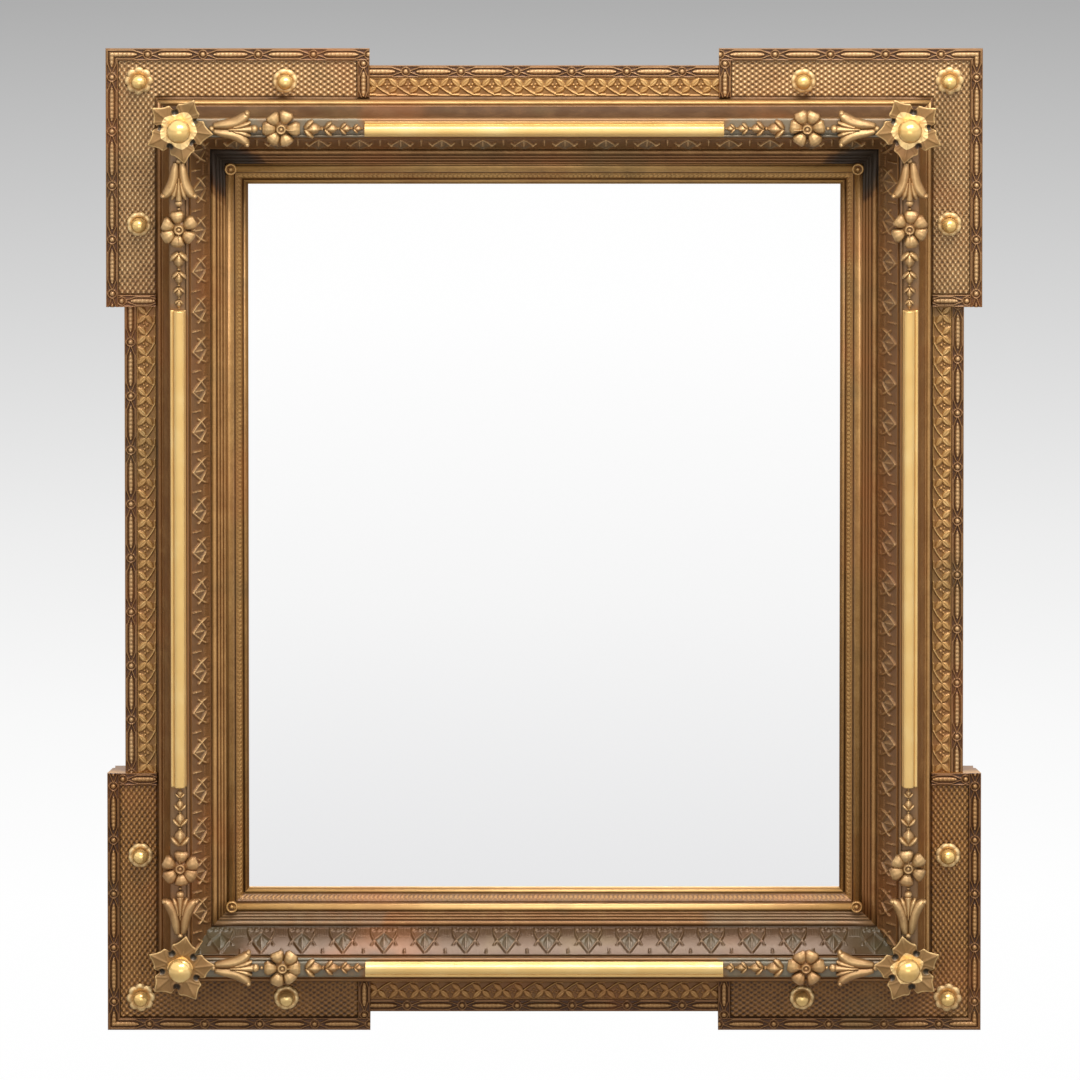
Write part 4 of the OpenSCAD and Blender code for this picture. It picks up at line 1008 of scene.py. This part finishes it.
def ball_profile(radius, rise, count):
    """A ball cut off flat below: radius and height of points from the top down to the flat."""
    stop = math.acos(-rise / radius)
    angle = np.concatenate([[0.02], np.linspace(stop / count, stop, count)])
    return [(radius * math.sin(a), rise + radius * math.cos(a)) for a in angle]


def corner_balls(shape):
    profile = ball_profile(12.8, 7.0, 22)
    for corner in CORNERS:
        add_turned(shape, profile, corner_place(corner, SEAT_X, SEAT_Z, SEAT_H + 9.1), 1.0, 48)


def spread(t, values):
    """The values at equal distances from 0 to 1, read at t."""
    return np.interp(t, np.linspace(0, 1, len(values)), values)


def add_blade(shape, place, path, half, crown, ribs=0, along=22, across=11, depth=0.14, edge=0.5):
    """A curled leaf with a flat back on the seat: its middle follows path, half gives its half width, and
    crown its height there. Across, it starts at the share edge of that height and domes over, with ribs
    or a low ridge in the middle."""
    t = np.linspace(0, 1, along)
    x, y = [spread(t, values) for values in zip(*path)]
    for line in (x, y):
        line[2:-2] = np.convolve(line, np.array([1, 2, 3, 2, 1]) / 9, "valid")
    dx, dy = np.gradient(x), np.gradient(y)
    size = np.hypot(dx, dy)
    w, h = spread(t, half)[:, None], spread(t, crown)[:, None]
    s = np.linspace(-1, 1, across)
    px = x[:, None] - (dy / size)[:, None] * w * s
    py = y[:, None] + (dx / size)[:, None] * w * s
    folds = 1 - depth + depth * (np.cos(np.pi * ribs * s) if ribs else soft_line(s, 0.3))
    dome = np.clip(1 - s**2, 0, 1) ** 0.5 * folds
    top = np.stack([px, py, h * (edge + (1 - edge) * dome)], -1)
    relief = np.broadcast_to(0.25 + 0.75 * dome * folds, px.shape)
    count = px.size
    index = np.arange(count).reshape(px.shape)
    rim = np.concatenate([index[:, 0], index[-1, 1:], index[-2::-1, -1], index[0, -2:0:-1]])
    wall = np.stack([rim, np.roll(rim, -1), np.roll(rim, -1) + count, rim + count], -1)
    points = placed(np.concatenate([top.reshape(-1, 3), top.reshape(-1, 3) * [1, 1, 0]]), place)
    faces = [(grid_faces(index), True), (grid_faces(index + count)[:, ::-1], False), (wall[:, ::-1], False)]
    shape.add(points, faces, np.concatenate([relief.ravel(), np.zeros(count)]))


def add_bead(shape, place, x, y, radius, height):
    """A half round bead on the seat: an ellipsoid's front half over a short side."""
    angle = np.radians(np.linspace(12, 90, 8))
    profile = [(radius * math.sin(a), height * (0.3 + 0.7 * math.cos(a))) for a in angle] + [(radius, 0.0)]
    add_turned(shape, profile, within(place, x, y), [1.0, 1.0, 0.95, 0.9, 0.8, 0.65, 0.5, 0.35, 0.0], 18)


def calyxes(shape):
    """Each calyx: a bead, two leaves that lie side by side, part and curl outwards, a small leaf inside
    each, and a stem between them that ends in a bud."""
    leaf = [(36, 2.8), (44, 4.2), (52, 5.0), (59, 6.4), (65, 9.4), (69.5, 13.2), (72.5, 16.2)]
    leaf_half = [2.8, 4.4, 5.4, 6.0, 6.0, 4.8, 2.6]
    leaf_crown = [4.5, 7.5, 8.6, 9.0, 9.3, 9.0, 6.5]
    small = [(57, 2.0), (64, 3.4), (70, 5.2), (75, 7.2)]
    stem = [(52, 0), (60, 0), (68, 0), (76, 0)]
    for place in drop_places():
        add_bead(shape, place, 34.2, 0, 3.0, 6.0)
        for side in (-1, 1):
            path = [(x, side * y) for x, y in leaf]
            add_blade(shape, place, path, leaf_half, leaf_crown, 0, 26, 15, 0.12, 0.4)
            add_bead(shape, place, 71.2, side * 16.6, 2.8, 8.6)
            path = [(x, side * y) for x, y in small]
            add_blade(shape, place, path, [1.6, 2.8, 3.2, 1.6], [8.8, 9.4, 9.4, 6.0])
        add_blade(shape, place, stem, [0.9, 2.4, 3.6, 3.8], [9.0, 9.5, 9.5, 9.0], 0, 18, 11)
        add_bead(shape, place, 78.6, 0, 4.2, 8.6)
        add_bead(shape, place, 85.2, 0, 1.9, 4.5)


def flowers(shape):
    """Six blunt petals, each creased by ribs, round a ringed eye with a stamen, on a low disc."""
    ring = [(0.8, 8.6), (1.6, 8.0), (2.4, 6.2), (3.2, 8.4), (4.0, 9.2)]
    ring += [(4.8, 8.4), (5.4, 6.4), (7.5, 4.6), (9.0, 3.4), (9.0, 0.0)]
    tones = [1.0, 0.8, 0.1, 0.7, 1.0, 0.7, 0.2, 0.1, 0.1, 0.1]
    half = [3.4, 5.4, 7.1, 7.8, 5.6]
    crown = [5.5, 8.2, 9.4, 8.8, 6.0]
    for number, drop in enumerate(drop_places()):
        place = within(drop, FLOWER_AT)
        add_turned(shape, ring, place, tones, 36)
        add_blade(shape, place, [(4.4, 0), (9, 0.5), (15, 0.2)], [0.8, 0.9, 1.1], [9.4, 10.0, 9.8], 0, 12, 7)
        for petal in range(6):
            turn = math.radians(60 * petal + 9 * math.sin(2.4 * number + petal))
            length = 19.6 - 0.7 * ((petal * 5 + number) % 3)
            path = [(6.0, 0), (9, 0), (12.5, 0), (16, 0), (length, 0)]
            add_blade(shape, within(place, 0, turn=turn), path, half, crown, 3, 18, 15, 0.035, 0.5)


def husks(shape):
    """Each husk: a keeled bud under two leaves that meet at its head like a roof, and a short tip. Four of
    them diminish along each drop."""
    bud = [(0.12, 0), (0.3, 0), (0.46, 0), (0.64, 0), (0.84, 0)]
    bud_half = [0.12, 0.26, 0.3, 0.25, 0.07]
    bud_crown = [0.3, 0.42, 0.46, 0.4, 0.2]
    wing = [(0.05, 0.02), (0.16, 0.16), (0.3, 0.31), (0.46, 0.42)]
    tip = [(0.82, 0), (0.9, 0), (0.98, 0)]
    for drop in drop_places():
        for i in range(4):
            start = HUSK_AT + HUSK_LEN * (1 - HUSK_RATIO**i) / (1 - HUSK_RATIO)
            place = within(drop, start, size=HUSK_LEN * HUSK_RATIO**i)
            add_blade(shape, place, bud, bud_half, bud_crown, 0, 18, 13, 0.2, 0.35)
            for side in (-1, 1):
                path = [(x, y * side) for x, y in wing]
                add_blade(shape, place, path, [0.1, 0.13, 0.14, 0.07], [0.34, 0.47, 0.46, 0.3], 0, 14, 9)
            add_blade(shape, place, tip, [0.07, 0.12, 0.07], [0.16, 0.24, 0.16], 0, 9, 9)


def stud_flowers(shape):
    """Scalloped flowers under the studs' balls. The ears' corners have the widest and deepest ones."""
    around = 96
    angle = np.linspace(0, 2 * np.pi, around, endpoint=False)
    share = np.linspace(0.12, 1, 14)[:, None]
    for number, (place, radius) in enumerate(stud_places(EAR_T)):
        deep = 0.16 if radius > 14 else 0.05
        scallop = np.abs(np.cos(4 * angle + number))
        rim = radius * (1 - deep + deep * scallop**0.6)
        height = 2.2 + 1.2 * np.sin(np.pi * np.clip((share - 0.5) / 0.5, 0, 1)) - 1.4 * (share > 0.99)
        height = height * (0.75 + 0.25 * scallop * share)
        rings = np.stack([share * rim * np.cos(angle), share * rim * np.sin(angle), height], -1)
        rings = np.concatenate([rings, rings[-1:] * [1, 1, 0]])
        relief = 0.35 + 0.6 * np.clip((share - 0.55) / 0.3, 0, 1) * (0.6 + 0.4 * scallop)
        relief = np.concatenate([relief, np.zeros((1, around))])
        disc_solid(shape, placed(rings, place), place(0, 0, 2.2), place(0, 0, 0.0), relief)


def stud_balls(shape):
    """Balls on short necks, half sunk in the studs' flowers."""
    profile = [(r, h + 1.6) for r, h in ball_profile(8.0, 4.4, 16)] + [(6.9, 0.8), (7.0, 0.0)]
    for place, _ in stud_places(EAR_T + 3.0):
        add_turned(shape, profile, place, 1.0, 36)


def slip_buttons(shape):
    """Turned buttons where the slip's large beads meet: a rim, a hollow and a raised eye."""
    profile = [(0.8, 5.4), (1.6, 5.1), (2.2, 4.2), (2.7, 2.9), (3.4, 2.6), (4.0, 3.3)]
    profile += [(4.8, 4.4), (5.6, 4.3), (6.2, 3.4), (6.5, 2.0), (6.4, 0.0)]
    relief = [0.9, 0.9, 0.6, 0.1, 0.05, 0.5, 1.0, 1.0, 0.7, 0.4, 0.2]
    for corner in CORNERS:
        place = corner_place(corner, SIGHT_W / 2 + SLIP_BEAD_OUT, SIGHT_H / 2 + SLIP_BEAD_OUT, SLIP_H)
        add_turned(shape, profile, place, relief, 36)


# Every piece: its name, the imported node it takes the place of, what fills it, its slot and its finish, and
# the finish at the bottom of the frame where that is another one
SIDE_PIECES = [
    ("flat_rail_", "rail_", rail_board, "bronzed_wood", "moulding"),
    ("deep_moulding_", "moulding_", deep_moulding, "bronzed_wood", "moulding"),
    ("carved_slip_", "slip_", slip, "slip_gilding", "slip"),
    ("spindle_edging_", "rail_edging_", rail_edging, "composition_edging", "edging", "shaded_edging"),
    ("vine_trellis_", "vine_band_", vine_band, "composition_vine", "vine", "shaded_vine"),
    ("lozenge_row_", "slope_band_", slope_ornament, "composition_relief", "slope", "rubbed_slope"),
    ("burnished_round_", "gilt_round_", gilt_round, "burnished_gold", "burnished"),
]
CORNER_PIECES = [
    ("ear_board_", "ear_", ear_board, "ear_diaper", "woven", "shaded_woven"),
    ("spindle_edging_", "ear_edging_", ear_edging, "composition_edging", "edging", "shaded_edging"),
    ("vine_leaf_", "corner_leaf_", corner_leaf, "leaf_gilding", "leaf"),
]
SET_PIECES = [
    ("burnished_balls", "corner_balls", corner_balls, "burnished_gold", "ball"),
    ("curled_calyxes", "calyxes", calyxes, "composition_flowers", "flower"),
    ("six_petal_flowers", "flowers", flowers, "composition_flowers", "flower"),
    ("husk_drops", "husks", husks, "composition_flowers", "flower"),
    ("scalloped_studs", "stud_flowers", stud_flowers, "leaf_gilding", "stud"),
    ("burnished_studs", "stud_balls", stud_balls, "burnished_gold", "ball"),
    ("turned_buttons", "slip_buttons", slip_buttons, "composition_flowers", "slip"),
]


def build(pieces, where="", *arguments):
    """Makes the pieces of one side or corner, or those that stand in no such place."""
    for name, node, fill, slot, *gilding in pieces:
        shape = Shape()
        fill(shape, *arguments)
        gilt = GILT[gilding[-1 if where.startswith("bottom") else 0]]
        shape.write(name + where, gilt, slot, node + where)


for number, side_name in enumerate(SIDES):
    build(SIDE_PIECES, side_name, number)
for corner_name in CORNERS:
    build(CORNER_PIECES, corner_name, corner_name)
build(SET_PIECES)


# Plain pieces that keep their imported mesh


def dress(names, material):
    for name in names:
        piece = frame["nodes"][name]
        piece.data.materials.clear()
        piece.data.materials.append(material)


def pine(name, light, dark):
    """Aged pine: rings stretched along the board, with darker streaks and knots."""
    m = finish(name)
    grain = m.noise(34, 5, 0.6, (1.0, 1.0, 0.07))
    streak = m.noise(160, 3, 0.5, (1.0, 1.0, 0.05))
    level = m.plus(m.times(grain, 0.7), m.times(streak, 0.3))
    color = m.ramp(level, [(0.3, dark), (0.55, light), (0.75, rgb(176, 140, 98))])
    color = m.mix(m.step(m.noise(12, 3), 0.55, 0.8), color, dark)
    m.set(Base_Color=color, Roughness=0.78)
    m.bump(level, 0.35, 0.0008)
    return m.owner


def metal(name, light, dark, rough):
    """Old metal with darker patches and fine scratches."""
    m = finish(name)
    patch = m.noise(150, 4, 0.6)
    m.set(Base_Color=m.ramp(patch, [(0.35, dark), (0.65, light)]), Metallic=0.9)
    m.set(Roughness=m.plus(rough, m.times(patch, 0.25)))
    m.bump(m.noise(900, 2), 0.1, 0.0002)
    return m.owner


def mirror_glass():
    """Silvered plate: a clean mirror in front, and grey backing paint behind and along the edges."""
    m = finish("silvered_plate")
    front = m.step(m.times(m.axis("Normal", "Y"), -1.0), 0.7, 0.9)
    paint = m.ramp(m.noise(14, 3), [(0.3, rgb(92, 84, 78)), (0.7, rgb(122, 112, 102))])
    m.set(Base_Color=m.mix(front, paint, rgb(255, 255, 255)), Metallic=front)
    m.set(Roughness=m.minus(0.5, m.times(front, 0.485)))
    return m.owner


BACK_BOARDS = ["back_board_left", "back_board_middle", "back_board_right"]
HANGER_BRASS = metal("hanger_brass", rgb(190, 150, 86), rgb(116, 84, 44), 0.28)
dress(BACK_BOARDS, pine("backboard_pine", rgb(158, 120, 80), rgb(112, 78, 48)))
dress(["plate_blocks"], pine("block_pine", rgb(166, 130, 90), rgb(124, 90, 58)))
dress(["back_screws", "hanger_screws"], metal("dark_screw_steel", rgb(92, 86, 80), rgb(52, 42, 36), 0.35))
dress(["hanger_plate_left", "hanger_plate_right"], HANGER_BRASS)
dress(["mirror_plate"], mirror_glass())


def hanging_ring(side, middle):
    """A D-shaped wire: a circle carried round a closed path of a straight bar and a half ring. middle is
    the middle of the bar, on the hinge."""
    c, wire, drop = 10.5, 1.5, 3.0
    bar = [[x, 0.0] for x in np.linspace(-c + 1, c - 1, 8)]
    bend = arc((0, -drop), c, 0, -180, 33)
    path = np.array(bar + [[c, -0.8]] + bend.tolist() + [[-c, -0.8]])
    ahead = np.roll(path, -1, 0) - np.roll(path, 1, 0)
    ahead = ahead / np.linalg.norm(ahead, axis=1, keepdims=True)
    side_way = np.stack([ahead[:, 1], -ahead[:, 0]], -1)
    angle = np.linspace(0, 2 * np.pi, 16, endpoint=False)
    x = path[:, 0, None] + wire * np.cos(angle) * side_way[:, 0, None]
    z = path[:, 1, None] + wire * np.cos(angle) * side_way[:, 1, None]
    depth = np.broadcast_to(wire * np.sin(angle), x.shape)
    points = np.stack([middle.x + x, middle.y + depth, middle.z + z], -1)
    index = np.arange(x.size).reshape(x.shape)
    index = np.concatenate([index, index[:1]])
    index = np.concatenate([index, index[:, :1]], 1)
    shape = Shape()
    shape.add(points, [(grid_faces(index), True)], 0.6)
    shape.write("wire_ring_" + side, HANGER_BRASS, "hanger_brass", "hanger_ring_" + side, "ring_" + side)


for joint in frame["record"]["behaviour"]["joints"]:
    hanging_ring(joint["child"].replace("ring_", ""), Vector(joint["pos_m"]) * 1000)


# Floor, light and camera

FLOOR_Z = -1.65


def stage_floor():
    """A pale floor far below. What the camera sees of it fades from white near by to grey far off, and a
    gloss sees it the other way round."""
    bpy.ops.mesh.primitive_grid_add(x_subdivisions=2, y_subdivisions=2, size=160, location=(0, 0, FLOOR_Z))
    floor = bpy.context.object
    floor.name = "floor"
    m = finish("pale_floor")
    m.set(Base_Color=rgb(236, 236, 235), Roughness=0.9)
    distance = m.node("VectorMath", {0: m.place["Object"]}, operation="LENGTH").outputs["Value"]
    far = m.math("DIVIDE", distance, 20.0)
    seen = [(0.285, 255), (0.336, 249), (0.389, 238), (0.444, 220), (0.502, 199), (0.563, 173)]
    seen = m.ramp(far, [(place, rgb(grey, grey, grey)) for place, grey in seen])
    mirrored = [(0.1, 190, 187, 182), (0.29, 232, 232, 233), (0.37, 246, 246, 246), (0.46, 255, 255, 255)]
    mirrored = m.ramp(far, [(place, rgb(*color)) for place, *color in mirrored])
    path = m.node("LightPath").outputs
    glow = m.node("Emission", {"Color": m.mix(path["Is Glossy Ray"], seen, mirrored)})
    shown = m.math("MAXIMUM", path["Is Camera Ray"], path["Is Glossy Ray"])
    shown = m.math("MAXIMUM", shown, path["Is Transmission Ray"])
    m.show(glow, m.times(shown, 0.995), "Material Output")
    floor.data.materials.append(m.owner)


def stage_world():
    """Soft light from all round. A gloss sees pale walls under a bright ceiling."""
    bpy.context.scene.world = bpy.data.worlds.new("studio")
    m = Maker(bpy.context.scene.world, "Background")
    m.set(Color=rgb(240, 244, 250), Strength=0.3)
    ceiling = m.step(m.axis("Generated", "Z"), 0.2, 0.3, 0.85, 1.7)
    seen = m.node("Background", {"Color": rgb(250, 250, 250), "Strength": ceiling})
    path = m.node("LightPath").outputs
    m.show(seen, m.math("MAXIMUM", path["Is Camera Ray"], path["Is Glossy Ray"]), "World Output")


def lamp(name, place, aim, size, power):
    data = bpy.data.lights.new(name, "AREA")
    data.shape = "RECTANGLE"
    data.size, data.size_y = size
    data.energy = power
    data.color = (1.0, 0.985, 0.96)
    lamp_object = bpy.data.objects.new(name, data)
    lamp_object.location = place
    lamp_object.rotation_euler = (Vector(aim) - Vector(place)).to_track_quat("-Z", "Y").to_euler()
    bpy.context.scene.collection.objects.link(lamp_object)


def studio_camera():
    """A far camera with a long lens, 12 degrees above the horizon. The picture's width in metres makes the
    ears' outline fill it as in the photograph, and shifts of a few pixels put the outline's middle there."""
    elevation = math.radians(12.0)
    distance = 40.0
    picture = 1.0446 * 1080 / 1000
    pixel = picture / 1080
    aim = Vector((0.0, -0.036, 0.0))
    back = Vector((0.0, -math.cos(elevation), math.sin(elevation)))
    right, up = Vector((1, 0, 0)), Vector((0, math.sin(elevation), math.cos(elevation)))
    data = bpy.data.cameras.new("camera")
    data.sensor_width = 36.0
    data.lens = data.sensor_width / 2 / (picture / 2 / distance)
    data.clip_start, data.clip_end = 1.0, 200.0
    camera = bpy.data.objects.new("camera", data)
    centre = aim - right * (544.2 - 540) * pixel + up * (540.1 - 540) * pixel
    camera.location = centre + back * distance
    camera.rotation_euler = (-back).to_track_quat("-Z", "Y").to_euler()
    bpy.context.scene.collection.objects.link(camera)
    bpy.context.scene.camera = camera


stage_floor()
stage_world()
lamp("key", (0.4, -1.5, 2.6), (0, 0, 0.05), (2.6, 1.2), 108)
lamp("fill", (0.2, -4.6, 0.6), (0, 0, 0), (3.4, 1.6), 34)
studio_camera()
bpy.context.scene.view_settings.view_transform = "Standard"
